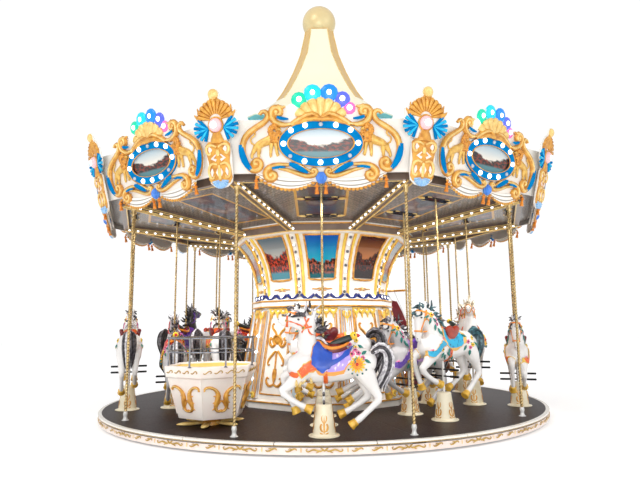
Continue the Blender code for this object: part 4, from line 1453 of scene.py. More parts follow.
def carve_body(style):
    posture = POSTURES[style]
    strands = BODY_STRANDS + LEG_STRANDS + [posture["neck"], posture["head"], posture["jaw"]]
    ear_x, ear_z, back, rise = posture["ears"]
    for side in (-1, 1):
        strands.append([(ear_x, side * 0.042, ear_z - 0.03, 0.024), (ear_x + back * 0.5, side * 0.052,
                        ear_z + rise * 0.5, 0.019), (ear_x + back, side * 0.048, ear_z + rise, 0.007)])
    raw = []
    for strand in strands:
        raw.append(rods("strand", [strand], COATS["white"], 4))
        for x, y, z, r in strand:
            raw.append(globe("joint", (x, y, z), r * 0.985, COATS["white"]))
    body = gather("horse_" + style, raw)
    body.data.transform(Matrix.Diagonal((1, 0.86, 1, 1)))
    pick(body)
    body.data.remesh_voxel_size = 0.0115
    body.data.use_remesh_fix_poles = False
    bpy.ops.object.voxel_remesh()
    modify(body, "SMOOTH", factor=0.6, iterations=5)
    apply_all(modify(body, "DECIMATE", ratio=0.1))
    body.data.materials.clear()
    body.data.materials.append(COATS["white"])
    outward(body)
    return round_off(body, 180.0)


def wavy_lock(start, end, sway, thick):
    """Curling lock from start to end."""
    start, end, sway = Vector(start), Vector(end), Vector(sway)
    lock = []
    for share, side, fat in ((0.0, 0.0, 0.75), (0.2, 0.55, 1.0), (0.45, 0.9, 1.0), (0.7, 0.1, 0.8),
                             (0.9, -0.75, 0.5), (1.0, -0.35, 0.12)):
        at = start.lerp(end, share) + sway * side
        lock.append((at.x, at.y, at.z, thick * fat))
    return lock


def carve_hair(style):
    chance = random.Random(11 if style == "proud" else 12)
    dark, light = [], []
    if style == "proud":
        crest = [(-0.235, 1.44, 150), (-0.19, 1.45, 115), (-0.13, 1.44, 80), (-0.09, 1.38, 50),
                 (-0.085, 1.29, 25), (-0.075, 1.2, 0), (-0.055, 1.11, -25), (-0.015, 1.03, -45)]
    else:
        crest = [(-0.435, 1.335, 215), (-0.4, 1.375, 170), (-0.33, 1.385, 110), (-0.24, 1.345, 55),
                 (-0.165, 1.275, 30), (-0.115, 1.19, 0), (-0.075, 1.1, -30), (-0.02, 1.02, -50)]
    long = 0.155 if style == "proud" else 0.105
    for x, z, heading in crest:
        for side in (-1.0, -0.5, 0.0, 0.5, 1.0):
            a = math.radians(heading + chance.uniform(-34, 34))
            reach = long * chance.uniform(0.75, 1.25) * (1.15 if abs(side) < 0.5 else 0.9)
            jitter = chance.uniform(-0.018, 0.018)
            start = (x + jitter, side * 0.04, z - 0.03 + jitter)
            end = (start[0] + reach * math.cos(a), side * (0.075 + 0.03 * chance.random()),
                   start[2] + reach * math.sin(a) - 0.03 * abs(side))
            sway = Vector((-math.sin(a), 0.25 * chance.uniform(-1, 1), math.cos(a)))
            sway *= 0.026 * chance.choice((-1, 1))
            strand = wavy_lock(start, end, sway, chance.uniform(0.014, 0.022))
            (light if chance.random() < 0.36 else dark).append(strand)
    spread = mm((
        (-50, 10), (-25, 30), (0, 0), (25, -30), (50, 0), (-12, -40), (12, 50), (-38, -20), (38, 20),
        (0, 60), (0, -60)))
    for i, (dy, dz) in enumerate(spread):
        grow = 1.0 + 0.12 * chance.uniform(-1, 1)
        strand = [(0.545, dy * 0.5, 0.905, 0.022), (0.625, dy * 0.9, 1.02 + dz * 0.6, 0.027),
                  (0.725, dy * 1.3, 1.055 + dz, 0.027), (0.8 + dz * 0.8, dy * 1.6, 0.96, 0.026),
                  (0.805 + dz, dy * 1.7, 0.83, 0.024), (0.755 + dz, dy * 1.5, 0.71, 0.02),
                  (0.68 + dz * 1.2, dy * 1.2, 0.62 - 0.04 * grow, 0.013),
                  (0.64 + dz * 1.6, dy * 0.9, 0.56 - 0.05 * grow, 0.003)]
        (light if i % 2 else dark).append(strand)
    return [carve("hair", dark, HAIR["grey"], 1.0, 0), carve("streaks", light, STREAKS["grey"], 1.0, 0)]


def pole_and_pegs():
    pieces = [twisted("pole", 1.075, 3.268, 0.0175, BRASS, 0.062)]
    rod = [(0.0, 0.041), (0.0175, 0.041), (0.0175, 0.7), (0.0, 0.7)]
    pieces.append(lathe("rod", rod, 10, SILVER_WHITE))
    collar = mm([(0, 985), (42, 985), (46, 1000), (36, 1075), (26, 1090), (0, 1090)])
    pieces.append(lathe("collar", collar, 14, RED))
    for z in (0.412, 0.505):
        grip = lathe("peg", mm([
            (0, -280), (14, -278), (16, -265), (16, -130), (11, -120), (11, 120), (16, 130), (16, 265),
            (14, 278), (0, 280)]), 8, PEG_BLACK)
        pieces.append(move(grip, shift(0, 0, z) @ turn(90, "X")))
    return pieces


def bridle(style, body, finish):
    posture = POSTURES[style]
    pieces = []
    for centre, axis, radius, width in posture["bands"]:
        pieces.append(band_round("bridle", centre, axis, radius, width, body, finish, 0.007, 22))
    jewel = lathe("jewel", mm([(0, 0), (24, 0), (26, 8), (16, 14), (0, 15)]), 10, GOLD)
    boss = gather("boss", [jewel, globe("stone", (0, 0, 0.014), 0.012, JEWEL, 6, 4)])
    nose_x, nose_z = posture["nostril"]
    for side in (-1, 1):
        for path in posture["straps"]:
            pieces.append(strap("cheek", [Vector((x, side * 0.1, z)) for x, z in path], 0.022, body,
                                finish, 0.008, 0.008, 10))
        bosses = [posture["jewel"] + (0, 1.0), posture["bit"] + (0, 0.7)]
        pieces += scatter(body, boss, "boss", bosses, side)
        pieces += scatter(body, EYEBALL, "eye", [posture["eye"]], side)
        pieces.append(globe("nostril", (nose_x, side * 0.02, nose_z), 0.008, EYE, 8, 5))
    throw_away(boss)
    return pieces


def strew(body, model, name, *places):
    """Copies a carving to the same places on both flanks and throws the model away."""
    made = [piece for side in (-1, 1) for piece in scatter(body, model, name, places, side)]
    throw_away(model)
    return made


def bird_roll():
    """Carved roll before the seat, with a bird's head."""
    beak = lathe("bird_beak", [(0.0, -0.02), (0.03, -0.02), (0.022, 0.02), (0.0, 0.05)], 10, RED)
    return [carve("roll", mm([
        [(70, 0, 1060, 30), (140, 0, 1085, 45), (220, 0, 1110, 50), (300, 0, 1145, 46),
         (350, 0, 1165, 36)]]), ROLL_GREEN, 1.0, 2),
            globe("bird_head", (0.375, 0, 1.178), 0.05, YELLOW, 14, 9),
            move(beak, shift(0.415, 0, 1.182) @ turn(90, "Y"))] + [
            globe("bird_eye", (0.385, side * 0.044, 1.19), 0.011, EYE, 8, 5) for side in (-1, 1)]


def dress_proud(body):
    """Blue and lavender dress with an orange breast band, sun boss and carved bird roll."""
    pieces = [drape("cloth", -0.135, 0.315, 118, body, LAVENDER_CLOTH, 0.008, 0.009, 0.3),
              drape("flap", -0.125, 0.105, 106, body, ROYAL, 0.024, 0.012, 0.55, 24, 12)]
    for side in (-1, 1):
        pieces.append(strap("band", flank(side, (0.06, 0.86), (0.18, 0.905), (0.29, 0.985),
                                          (0.35, 1.015, 0.3)), 0.075, body, ROYAL, 0.02, 0.012, 16, 3))
        pieces.append(strap("breast", flank(side, (-0.075, 0.845), (-0.2, 0.8), (-0.3, 0.745)),
                            0.165, body, ORANGE_CLOTH, 0.012, 0.01, 14, 5))
        pieces.append(strap("front", flank(side, (-0.3, 0.745), (-0.4, 0.75, 0.2)), 0.06,
                            body, STRAP_ORANGE, 0.01, 0.008, 8))
    pieces += strew(body, hanging_tassel("drop"), "drop", (-0.27, 0.65), (-0.215, 0.67),
                    (-0.155, 0.69), (-0.325, 0.668))
    pieces += strew(body, sun_rosette("sun", 0.1), "sun", (0.405, 0.845))
    pieces += strew(body, blossom("rose", 0.04, PINK), "rose", (0.345, 0.965), (0.42, 0.975, 0, 0.9),
                    (0.47, 0.92, 0, 0.8), (0.385, 1.01, 0, 0.8))
    pieces += strew(body, leaf("leaf", 0.09, LEAF_GREEN), "leaf", (0.33, 1.0, 140),
                    (0.46, 0.96, 30), (0.49, 0.9, -30), (0.4, 0.935, 250), (0.3, 0.95, 200))
    pieces.append(carve("seat", mm([
        [(-55, 0, 1000, 40), (20, 0, 1000, 80), (120, 0, 1000, 95), (220, 0, 1020, 85),
         (290, 0, 1045, 45)]]), MAROON, 1.0, 3))
    rim = [[(-0.055, side * 0.004, 1.125, 0.024), (-0.03, side * 0.05, 1.085, 0.026),
            (0.03, side * 0.094, 1.045, 0.024), (0.12, side * 0.108, 1.03, 0.02),
            (0.21, side * 0.1, 1.045, 0.018), (0.29, side * 0.05, 1.08, 0.018),
            (0.31, side * 0.004, 1.095, 0.018)] for side in (-1, 1)]
    pieces.append(carve("seat_rim", rim, SUN_ORANGE, 1.0, 1))
    pieces += bird_roll()
    pieces.append(band_round("girth", (0.0, 0, 0.8), (1, 0, 0), 0.26, 0.05, body, STRAP_ORANGE))
    return pieces


def dress_tucked(body):
    """Turquoise dress with a heart saddle and garlands of leaves and flowers."""
    pieces = [drape("cloth", -0.115, 0.3, 104, body, TURQUOISE_CLOTH, 0.01, 0.01, 0.45)]
    heart_half = mm([
        (0, -125), (50, -80), (105, -20), (130, 40), (115, 90), (75, 112), (30, 98), (0, 60)])
    heart = board("heart", both_halves(heart_half), -0.03, 0.03, HEART_RED, 0.022)
    for side in (-1, 1):
        path = flank(side, (-0.085, 0.9), (-0.2, 0.83), (-0.31, 0.765), (-0.4, 0.745, 0.3))
        pieces.append(strap("breast", path, 0.105, body, TURQUOISE_CLOTH, 0.011, 0.01, 16, 4))
    pieces += strew(body, blossom("rose", 0.036, PINK), "rose", (-0.34, 0.765), (-0.085, 0.925),
                    (0.01, 0.73, 0, 0.9), (0.295, 0.96), (0.35, 0.88, 0, 0.9),
                    (0.385, 0.8, 0, 0.8), (-0.225, 1.18), (-0.205, 1.13, 0, 0.8))
    pieces += strew(body, blossom("gold_rose", 0.036, YELLOW), "gold_rose", (-0.165, 0.79),
                    (-0.01, 0.84), (0.435, 0.93), (0.425, 0.835, 0, 0.9), (-0.29, 1.255, 0, 1.15),
                    (0.3, 0.88, 0, 0.8))
    pieces += strew(
        body, leaf("leaf", 0.095, LEAF_GREEN), "leaf",
        (-0.33, 1.245, 200), (-0.3, 1.215, 250), (-0.265, 1.215, 300), (-0.235, 1.13, 260),
        (-0.2, 1.08, 290), (-0.17, 1.04, 310), (-0.13, 0.745, 240), (-0.11, 0.72, 290),
        (-0.07, 0.74, 330), (0.03, 0.7, 260), (0.06, 0.69, 300), (0.33, 0.83, 240),
        (0.38, 0.77, 270), (0.4, 0.87, 300), (0.34, 0.94, 150), (0.46, 0.87, 320),
        (-0.04, 0.88, 200), (-0.02, 0.8, 240))
    pieces += [copy_to(heart, "heart", shift(0.08, side * 0.12, 1.0) @ turn(-side * 14, "X"))
               for side in (-1, 1)]
    throw_away(heart)
    pieces.append(carve("seat", mm([
        [(-70, 0, 1010, 50), (20, 0, 1000, 80), (120, 0, 1000, 85), (200, 0, 1020, 60)],
        [(-90, 0, 1000, 30), (-100, 0, 1060, 34), (-85, 0, 1100, 30)]]), MAROON, 1.0, 3))
    pieces.append(band_round("girth", (0.0, 0, 0.8), (1, 0, 0), 0.26, 0.045, body, STRAP_ORANGE))
    return pieces


def build_horse(style):
    body = carve_body(style)
    pieces = carve_hair(style) + pole_and_pegs()
    pieces += dress_proud(body) if style == "proud" else dress_tucked(body)
    pieces += bridle(style, body, STRAP_ORANGE if style == "proud" else SUN_ORANGE)
    for strand in LEG_STRANDS:
        a, b = strand[-2], strand[-1]
        pieces.append(hoof((b[0], b[1] * 0.86, b[2]), (2 * b[0] - a[0], b[1] * 0.86, 2 * b[2] - a[2])))
    return gather("horse_" + style, [body] + pieces)


def build_horses():
    models = {style: build_horse(style) for style in ("proud", "tucked")}
    for number, radius, angle, step, style in HORSES:
        piece = copy_to(models[style], "carved_horse_%02d" % number,
                        shift(*polar(radius, angle, DECK + step * RISE)) @ turn(angle))
        coat, hair, look = LOOKS[number]
        swaps = {COATS["white"]: COATS[coat], HAIR["grey"]: HAIR[hair], STREAKS["grey"]: STREAKS[hair]}
        swaps.update(DRESS_SWAPS[look])
        for index, material in enumerate(piece.data.materials):
            piece.data.materials[index] = swaps.get(material, material)
        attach(piece, "horse_%02d" % number)
        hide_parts("horse_%02d" % number)
    throw_away(*models.values(), EYEBALL)


def eyeball():
    ball = globe("eyeball", (0, 0, 0.002), 0.015, EYE, 10, 7)
    lid = carve("lid", mm([[(-22, 4, 4, 4), (-10, 14, 10, 6), (8, 15, 10, 6), (22, 6, 4, 3)]]),
                COATS["white"], 1.0, 1)
    return gather("eyeball", [ball, lid])


EYEBALL = eyeball()


# Centre housing
FLARE = mm([(1175, 1780), (1195, 2000), (1265, 2300), (1400, 2580), (1560, 2760), (1625, 2780)])
DRUM_FOOT = 1.47
DRUM_TAPER = 0.25
DRUM_HEIGHT = 1.46
COLLAR = 1.185


def side_point(radius, height, share, proud):
    """Point on a side of the housing: share of its half width, height over the deck."""
    return (share * radius * math.sin(HALF_SECTOR), -radius * math.cos(HALF_SECTOR) - proud,
            height + DECK)


def flare_point(z, share, proud=0.0):
    for (r0, z0), (r1, z1) in zip(FLARE, FLARE[1:]):
        if z <= z1:
            r = r0 + (r1 - r0) * (z - z0) / (z1 - z0)
            break
    return side_point(r, z, share, proud)


def collar_point(z, share, proud=0.0):
    """Point in front of the collar under the flare."""
    return side_point(COLLAR, z, share, proud)


def drum_radius(z):
    return DRUM_FOOT - DRUM_TAPER * (z - 0.14) / DRUM_HEIGHT


def drum_point(z, share, proud=0.0):
    return side_point(drum_radius(z), z, share, proud)


def spiral(x, z, radius, start, turns, thick, thin, count=9, rise=1.0):
    """C scroll: a strand wound inward round a point."""
    strand = []
    for i in range(count):
        f = i / (count - 1.0)
        a = math.radians(start + 360.0 * turns * f)
        r = radius * (1.0 - 0.72 * f)
        strand.append((x + r * math.cos(a), z + rise * r * math.sin(a), thick + (thin - thick) * f))
    return strand


def seat_on(strands, surface, proud):
    """Lays strands of (share, height, radius) on a side of the housing."""
    return [[surface(z, s, proud) + (r,) for s, z, r in strand] for strand in strands]


def picture_panel(name, low, high, share_low, share_high, finish):
    """Thin painted panel that follows the hollow of the flare, with its own UV map."""
    def place(x, y):
        t = y + 0.5
        share = share_low + (share_high - share_low) * t
        return flare_point(low + (high - low) * t, x * 2.0 * share, 0.01)

    obj = apply_all(modify(grid(name, 6, 12, place), "SOLIDIFY", thickness=0.008))
    outward(obj)
    obj.data.materials.append(finish)
    return obj


VIEWS = [
    view_finish("view_harbour", 0.2, 0.24, 0.1, Sky="#0A58AC", Haze="#12A0B4", Hill="#14110F",
                Accent="#9C4A34", Water="#0C5A62"),
    view_finish("view_evening", 0.5, 0.3, 0.18, Sky="#3A1812", Haze="#C07A48", Hill="#1E0D0C",
                Accent="#5E2418", Water="#241A1A"),
    view_finish("view_autumn", 0.35, 0.38, 0.16, Sky="#5A6E78", Haze="#B9B4A8", Hill="#3E1814",
                Accent="#B23A24", Water="#3E7E8C"),
]


def flare_bulbs():
    """Sockets up the corners of the flare, every second one lit."""
    bulbs = []
    for i in range(9):
        at = flare_point(1.85 + 0.107 * i, 1.0, 0.01)
        bulbs.append(globe("socket", at, 0.026, SOCKET, 10, 5, 0.5))
        if i % 2:
            bulbs.append(globe("bulb", (at[0], at[1] - 0.01, at[2]), 0.019, BULB, 8, 6))
    return bulbs


def flare_collar():
    """Lamps and dark swags round the collar under the flare."""
    neck = []
    for i in range(3):
        share = -0.66 + 0.66 * i
        neck.append(globe("neck_bulb", flare_point(1.785, share, 0.046), 0.022, BULB, 10, 7))
        hang = [(share + 0.3 * (k - 3) / 3.0, 1.815 - 0.07 * (1.0 - ((k - 3) / 3.0) ** 2), 0.026)
                for k in range(7)]
        neck.append(carve("neck_swag", seat_on([hang], collar_point, 0.03), NAVY, 1.0, 1))
    return neck


def build_flare():
    low, high = 2.075, 2.745
    wavy = [(0.555 + 0.0045 * i + 0.024 * (i % 2), low + (high - low) * i / 10.0,
             0.013 + 0.007 * (i % 2)) for i in range(11)]
    strands = mirrored([
        wavy,
        [(0.62, low + 0.01, 0.01), (0.5, low - 0.03, 0.018), (0.3, low - 0.008, 0.014),
         (0.14, low - 0.034, 0.018), (0.0, low - 0.024, 0.016)],
        [(0.64, high + 0.002, 0.014), (0.35, high + 0.01, 0.017), (0.15, high - 0.006, 0.014),
         (0.0, high + 0.008, 0.012)],
        mm([
            (0, 1900, 10), (100, 1922, 15), (260, 1890, 11), (380, 1912, 10), (460, 1902, 8),
            (440, 1888, 5)]),
        mm([(60, 1885, 10), (140, 1870, 8), (200, 1878, 4)])])
    heights = (1.79, 1.95, 2.11, 2.27, 2.43, 2.59, 2.7, 2.762)
    mouldings = mirrored([[(0.815, z, 0.024) for z in heights]])
    lips = mirrored([[(0.875, z, 0.008) for z in heights]])
    gilding = carve("gilding", seat_on(strands, flare_point, 0.014), GOLD, 1.0, 1)
    moulding = carve("moulding", seat_on(mouldings, flare_point, 0.004), GOLD_BRIGHT, 1.0, 2)
    lip = carve("lip", seat_on(lips, flare_point, 0.006), GOLD, 1.0, 1)
    knob = globe("knob", flare_point(1.905, 0.0, 0.014), 0.03, GOLD_PALE, 10, 7, 0.6)
    side = gather("flare_side", [gilding, moulding, lip, knob] + flare_bulbs() + flare_collar())
    for i in range(SECTORS):
        view = VIEWS[i % 3 if i < 9 else 2]
        panel = picture_panel("picture", low + 0.004, high - 0.004, 0.55, 0.605, view)
        whole = gather("flare_side_%02d" % (i + 1),
                       [copy_to(side, "dress", turn(SECTOR * i)), move(panel, turn(SECTOR * i))])
        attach(whole, "turntable")
    throw_away(side)


def drum_gilding():
    """Scrollwork and frame lines on a side of the drum."""
    strands = mirrored(mm([
        [(600, 230, 12), (600, 700, 12), (590, 1200, 12), (570, 1500, 12)],
        [(530, 270, 6), (530, 700, 6), (520, 1200, 6), (500, 1440, 6)],
        [(100, 1010, 20), (220, 955, 26), (360, 985, 26), (450, 1060, 22), (400, 1125, 18),
         (320, 1110, 15), (330, 1070, 13)],
        [(50, 1130, 18), (150, 1215, 22), (300, 1235, 22), (400, 1310, 18), (320, 1360, 14),
         (260, 1325, 12)],
        [(60, 900, 18), (200, 840, 24), (340, 780, 22), (420, 700, 16), (340, 655, 12),
         (280, 690, 10)],
        [(0, 380, 16), (160, 330, 22), (320, 370, 22), (400, 450, 18), (320, 500, 14), (250, 460, 11)],
        [(20, 420, 12), (100, 520, 18), (60, 620, 8)]]))
    strands.append(mm([(-600, 225, 12), (0, 215, 12), (600, 225, 12)]))
    strands.append(mm([(0, 360, 14), (0, 600, 14), (0, 900, 18)]))
    return carve("gilding", seat_on(strands, drum_point, 0.008), GOLD, 1.0, 1)


def drum_festoon():
    """Hanging festoon under the drum's head."""
    festoon = mm([[(-660, 1585, 14), (0, 1590, 14), (660, 1585, 14)]])
    for i in range(4):
        x0 = -0.62 + 0.31 * i
        festoon.append([(x0, 1.575, 0.012), (x0 + 0.06, 1.52, 0.024), (x0 + 0.155, 1.495, 0.03),
                        (x0 + 0.25, 1.52, 0.024), (x0 + 0.31, 1.575, 0.012)])
        festoon.append([(x0 + 0.155, 1.5, 0.022), (x0 + 0.155, 1.46, 0.02),
                        (x0 + 0.155, 1.425, 0.005)])
    return carve("drops", seat_on(festoon, drum_point, 0.014), GOLD_BRIGHT, 1.0, 1)


def mirror_pilaster():
    """Mirrored strip at a corner of the drum, with its crest, foot and lamps."""
    lean = math.atan2(0.25, 1.46)
    strip = board("mirror", [(-0.14, -0.715), (0.14, -0.715), (0.112, 0.72), (-0.112, 0.72)],
                  -0.014, 0.05, MIRROR, 0.006)
    middle = board("stripe", [(-0.034, -0.7), (0.034, -0.7), (0.028, 0.705), (-0.028, 0.705)],
                   -0.026, -0.008, STRIPE_BLUE, 0.004)
    lines = []
    for wide, r in ((0.14, 0.012), (0.088, 0.007), (0.038, 0.009)):
        lines += [[(s * wide, -0.7, r), (s * wide * 0.8, 0.705, r)] for s in (-1, 1)]
    edges = carve("mirror_edges", lines, GOLD, 1.0, 1, -0.018, False)
    crest = carve("crest", mirrored(mm([
        [(0, 560, 10), (50, 600, 20), (75, 660, 18), (40, 690, 12), (20, 660, 8)]]))
                  + mm([[(0, 480, 5), (0, 560, 22), (0, 660, 10)]]), GOLD_BRIGHT, 0.8, 1, -0.03)
    feet = carve("feet", mirrored([spiral(0.085, -0.68, 0.06, 150, -1.2, 0.026, 0.012)]), GOLD_BRIGHT,
                 0.8, 1, -0.03)
    lamps = [globe("lamp", (0, -0.036, z), 0.027, BULB, 10, 7) for z in (-0.42, 0.02, 0.28)]
    pilaster = gather("pilaster", [strip, middle, edges, crest, feet] + lamps)
    return move(pilaster, facing(CORNER, drum_radius(0.86) + 0.004, 0.86, -lean))


def build_drum():
    gilding, drops = drum_gilding(), drum_festoon()
    disc = lathe("disc", mm([
        (0, 0), (105, 0), (112, 14), (92, 26), (66, 14), (34, 34), (0, 38)]), 24, GOLD)
    move(disc, Matrix.Translation(drum_point(1.06, 0.0, 0.0)) @ turn(99, "X"))
    side = gather("drum_side", [gilding, drops, disc, mirror_pilaster()])
    for i in range(SECTORS):
        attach(copy_to(side, "drum_side_%02d" % (i + 1), turn(SECTOR * i)), "turntable")
    throw_away(side)
    beads = [rods("bead", [ring_line(r, z, 0.014)], GOLD)
             for r, z in ((1.53, 0.104), (1.276, 1.622), (1.276, 1.716))]
    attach(gather("drum_beads", beads), "turntable")


GOLD_BRIGHT = painted("moulding_gold", "#F4D35A", "#DE9A34", 7.0, 0.6, 0.1, 0.4, 0.2)
STRIPE_BLUE = painted("stripe_blue", "#D9E9F2", "#B9D2E2", 6.0, 0.5, 0.2, 0.4, 0.05)
SOCKET = painted("lamp_socket", "#6E6C70", "#4A484C", 20.0, 0.5, 0.3, 0.2, 0.1)
NAVY = painted("neck_navy", "#1A2C78", "#101C52", 12.0, 0.5, 0.0, 0.5, 0.1)
MIRROR = painted("mirror_strip", "#EEF1F4", "#CDD3DA", 3.0, 0.4, 0.55, 0.3, 0.02, 0.1)


# Ceiling
def bay_axes(tree):
    """Distance across from a bay's middle line, and out from the ride's middle along it."""
    _, axes = where(tree)
    angle = calc(tree, "ARCTAN2", axes["X"], axes["Y"])
    turned_by = calc(tree, "ADD", angle, math.radians(360.0 + CORNER))
    swing = calc(tree, "SUBTRACT", calc(tree, "MODULO", turned_by, math.radians(SECTOR)), HALF_SECTOR)
    flat = node(tree, "CombineXYZ", X=axes["X"], Y=axes["Y"]).outputs[0]
    reach = tree.nodes.new("ShaderNodeVectorMath")
    reach.operation = "LENGTH"
    tree.links.new(flat, reach.inputs[0])
    across = calc(tree, "MULTIPLY", reach.outputs["Value"], calc(tree, "SINE", swing))
    out = calc(tree, "MULTIPLY", reach.outputs["Value"], calc(tree, "COSINE", swing))
    return calc(tree, "ABSOLUTE", across), out


def ceiling_finish():
    """Painted ceiling: gilt scrollwork on taupe, and a dark picture in the middle of each bay."""
    material, tree, shader = new_finish("painted_ceiling")
    across, out = bay_axes(tree)
    spot = node(tree, "CombineXYZ", X=across, Y=out).outputs[0]
    curls = node(tree, "TexMagic", Vector=spot, Scale=7.0, Distortion=2.6)
    curls.turbulence_depth = 3
    line = remap(tree, curls.outputs["Fac"], From_Min=0.5, From_Max=0.62)
    picture = node(tree, "ValToRGB", Fac=noise(tree, spot, 3.2))
    stops = picture.color_ramp.elements
    for i, (at, colour) in enumerate(((0.35, "#1C1A26"), (0.48, "#3A4656"), (0.58, "#5A2A2E"),
                                      (0.7, "#8A7668"))):
        stop = stops[i] if i < 2 else stops.new(at)
        stop.position = at
        stop.color = linear(colour)
    far = calc(tree, "ABSOLUTE", calc(tree, "SUBTRACT", out, 2.48))
    inside, border = [calc(tree, "MULTIPLY", calc(tree, "LESS_THAN", far, long),
                           calc(tree, "LESS_THAN", across, wide))
                      for long, wide in ((0.58, 0.34), (0.62, 0.38))]
    framed = mix(tree, border, mix(tree, line, "#5E5854", "#97887A"), "#D9A44A")
    fill(tree, shader, Base_Color=mix(tree, inside, framed, picture.outputs["Color"]),
         Normal=relief(tree, line, 0.4, 0.006), Roughness=0.35, Coat_Weight=0.3)
    return material


CEILING = ceiling_finish()


def ceiling_under(reach):
    """Height of the ceiling's underside at a distance out from the middle of a side."""
    return 2.93 + CEILING_RISE * (reach / math.cos(HALF_SECTOR) - 1.62)


def build_slots():
    """Rims and leaves round the slots that the poles pass through."""
    slope = math.atan(CEILING_RISE / math.cos(HALF_SECTOR))
    strands = [[(-0.242, z, 0.01), (0.242, z, 0.01)] for z in (0.05, -0.05)]
    strands += [[(x, -0.05, 0.01), (x, 0.05, 0.01)] for x in (-0.242, 0.242)]
    rim = rods("rim", strands, PEG_BLACK)
    leaf = carve("leaf", mirrored(mm([
        [(245, 0, 20), (290, 30, 18), (335, 20, 8)],
        [(245, 0, 20), (290, -30, 18), (335, -20, 8)],
        [(245, 0, 20), (310, 0, 20), (360, 0, 6)],
        [(225, 62, 12), (180, 75, 10), (140, 62, 5)],
        [(225, -62, 12), (180, -75, 10), (140, -62, 5)]])), GOLD_PALE, 0.8, 1)
    slot = gather("slot", [rim, leaf])
    slots = []
    for _, radius, angle, _, _ in HORSES:
        lay = turn(angle) @ shift(0, -radius, ceiling_under(radius) + DECK - 0.004) @ turn(
            90 - math.degrees(slope), "X")
        slots.append(copy_to(slot, "slot", lay))
    throw_away(slot)
    whole = gather("ceiling_slots", slots)
    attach(whole, "turntable")


def build_ribs():
    """Rails and lamps down both sides of each rib."""
    low = Vector((0, -1.56, 2.8055 + DECK))
    high = Vector((0, -3.66, 3.096 + DECK))
    rail, lamps = [], []
    for side in (-1, 1):
        for off, drop, r in mm(((46, -2, 13), (68, 30, 8), (46, 60, 7))):
            rail.append([(side * off, low.y, low.z + drop, r), (side * off, high.y, high.z + drop, r)])
        for i in range(13):
            at = low.lerp(high, (i + 0.5) / 13.0)
            lamps.append(globe("lamp", (side * 0.056, at.y, at.z + 0.018), 0.021, RIB_BULB, 8, 5))
    rib = gather("rib", [rods("rail", rail, GOLD_PALE)] + lamps)
    for i in range(SECTORS):
        piece = copy_to(rib, "rib_dress_%02d" % (i + 1), turn(CORNER + SECTOR * i))
        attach(piece, "turntable")
    throw_away(rib)


def build_ceiling():
    build_slots()
    build_ribs()
    rings = [rods("ring", [ring_line(r, z, thick)], finish)
             for r, z, thick, finish in ((1.672, 2.918, 0.016, GOLD), (1.64, 2.8, 0.013, GOLD_PALE),
                                         (3.612, 3.112, 0.014, GOLD_PALE), (1.7, 2.934, 0.012, WHITE))]
    rings = gather("ceiling_rings", rings)
    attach(rings, "turntable")


RIB_BULB = lamp_finish("bulb_blue_white", "#EAF2FF", "#D6E6FF", 2.2)


# Spinning tub
def tub_shell():
    """Six-sided shell with its seat inside, drawn as one profile and spun."""
    shell = mm([
        (0, 125), (405, 125), (420, 112), (445, 112), (462, 170), (598, 640), (630, 655), (655, 790),
        (640, 802), (605, 802), (598, 780), (540, 560), (400, 400), (395, 380), (405, 150), (0, 150)])
    tub = spin(draw("tub", [polar(r, 30, z) for r, z in shell]), 6)
    apply_all(modify(tub, "BEVEL", width=0.008, segments=2, limit_method="ANGLE",
                     angle_limit=math.radians(28)))
    tub.data.materials.append(TUB_CREAM)
    by_direction(tub, TUB_YELLOW,
                 lambda f: (f.normal.x * f.center.x + f.normal.y * f.center.y) < -0.05
                 and f.center.z < 0.78)
    by_direction(tub, MAROON, lambda f: f.normal.z > 0.8 and 0.35 < f.center.z < 0.42)
    return round_off(tub, 30)


def tub_side():
    """Gilt acanthus, rim scrolls and corner line on one side of the tub."""
    cos = math.cos(HALF_SIX)

    def on_side(x, t, proud=0.004):
        return x, -(0.462 + 0.1635 * t) * cos - proud, 0.17 + 0.565 * t

    lyre = mirrored(mm([
        [(10, 70, 10), (46, 75, 16), (74, 150, 20), (74, 240, 26), (56, 340, 34), (46, 460, 30),
         (80, 570, 20), (150, 640, 17), (215, 650, 16), (250, 610, 14), (238, 560, 12)],
        [(60, 200, 14), (30, 300, 12), (0, 330, 12)]])
        + [[(0.06, low, 0.014), (0.092, (low + high) / 2, 0.012), (0.116, high, 0.003)]
           for low, high in ((0.18, 0.12), (0.32, 0.27), (0.43, 0.44))])
    lyre.append(mm([(-20, 85, 16), (0, 110, 20), (20, 85, 16)]))
    laid = [[on_side(x, t) + (r * 1.2,) for x, t, r in strand] for strand in lyre]
    ridge = [[on_side(x, t, 0.022) + (r * 0.4,) for x, t, r in strand]
             for strand in lyre if len(strand) > 5]
    rim = []
    for i in range(4):
        x = -0.222 + 0.148 * i
        rim.append([(x - 0.06, 0.72, 0.006), (x - 0.04, 0.7, 0.007), (x - 0.01, 0.725, 0.007),
                    (x + 0.02, 0.752, 0.007), (x + 0.05, 0.735, 0.007), (x + 0.048, 0.712, 0.006),
                    (x + 0.03, 0.716, 0.004)])
    rim = [[(x, -(0.63 + 0.025 * (z - 0.655) / 0.135) * cos - 0.004, z, r) for x, z, r in strand]
           for strand in rim]
    corner = [tuple(polar(r, 30, z)) + (0.006,) for r, z in ((0.466, 0.175), (0.53, 0.4),
                                                             (0.598, 0.636))]
    return gather("side", [carve("acanthus", laid, GOLD, 1.0, 1),
                           carve("acanthus_ridge", ridge, GOLD_PALE, 1.0, 1),
                           carve("rim_scroll", rim, RIM_GOLD, 1.0, 1),
                           rods("corner", [corner], TUB_CREAM)])


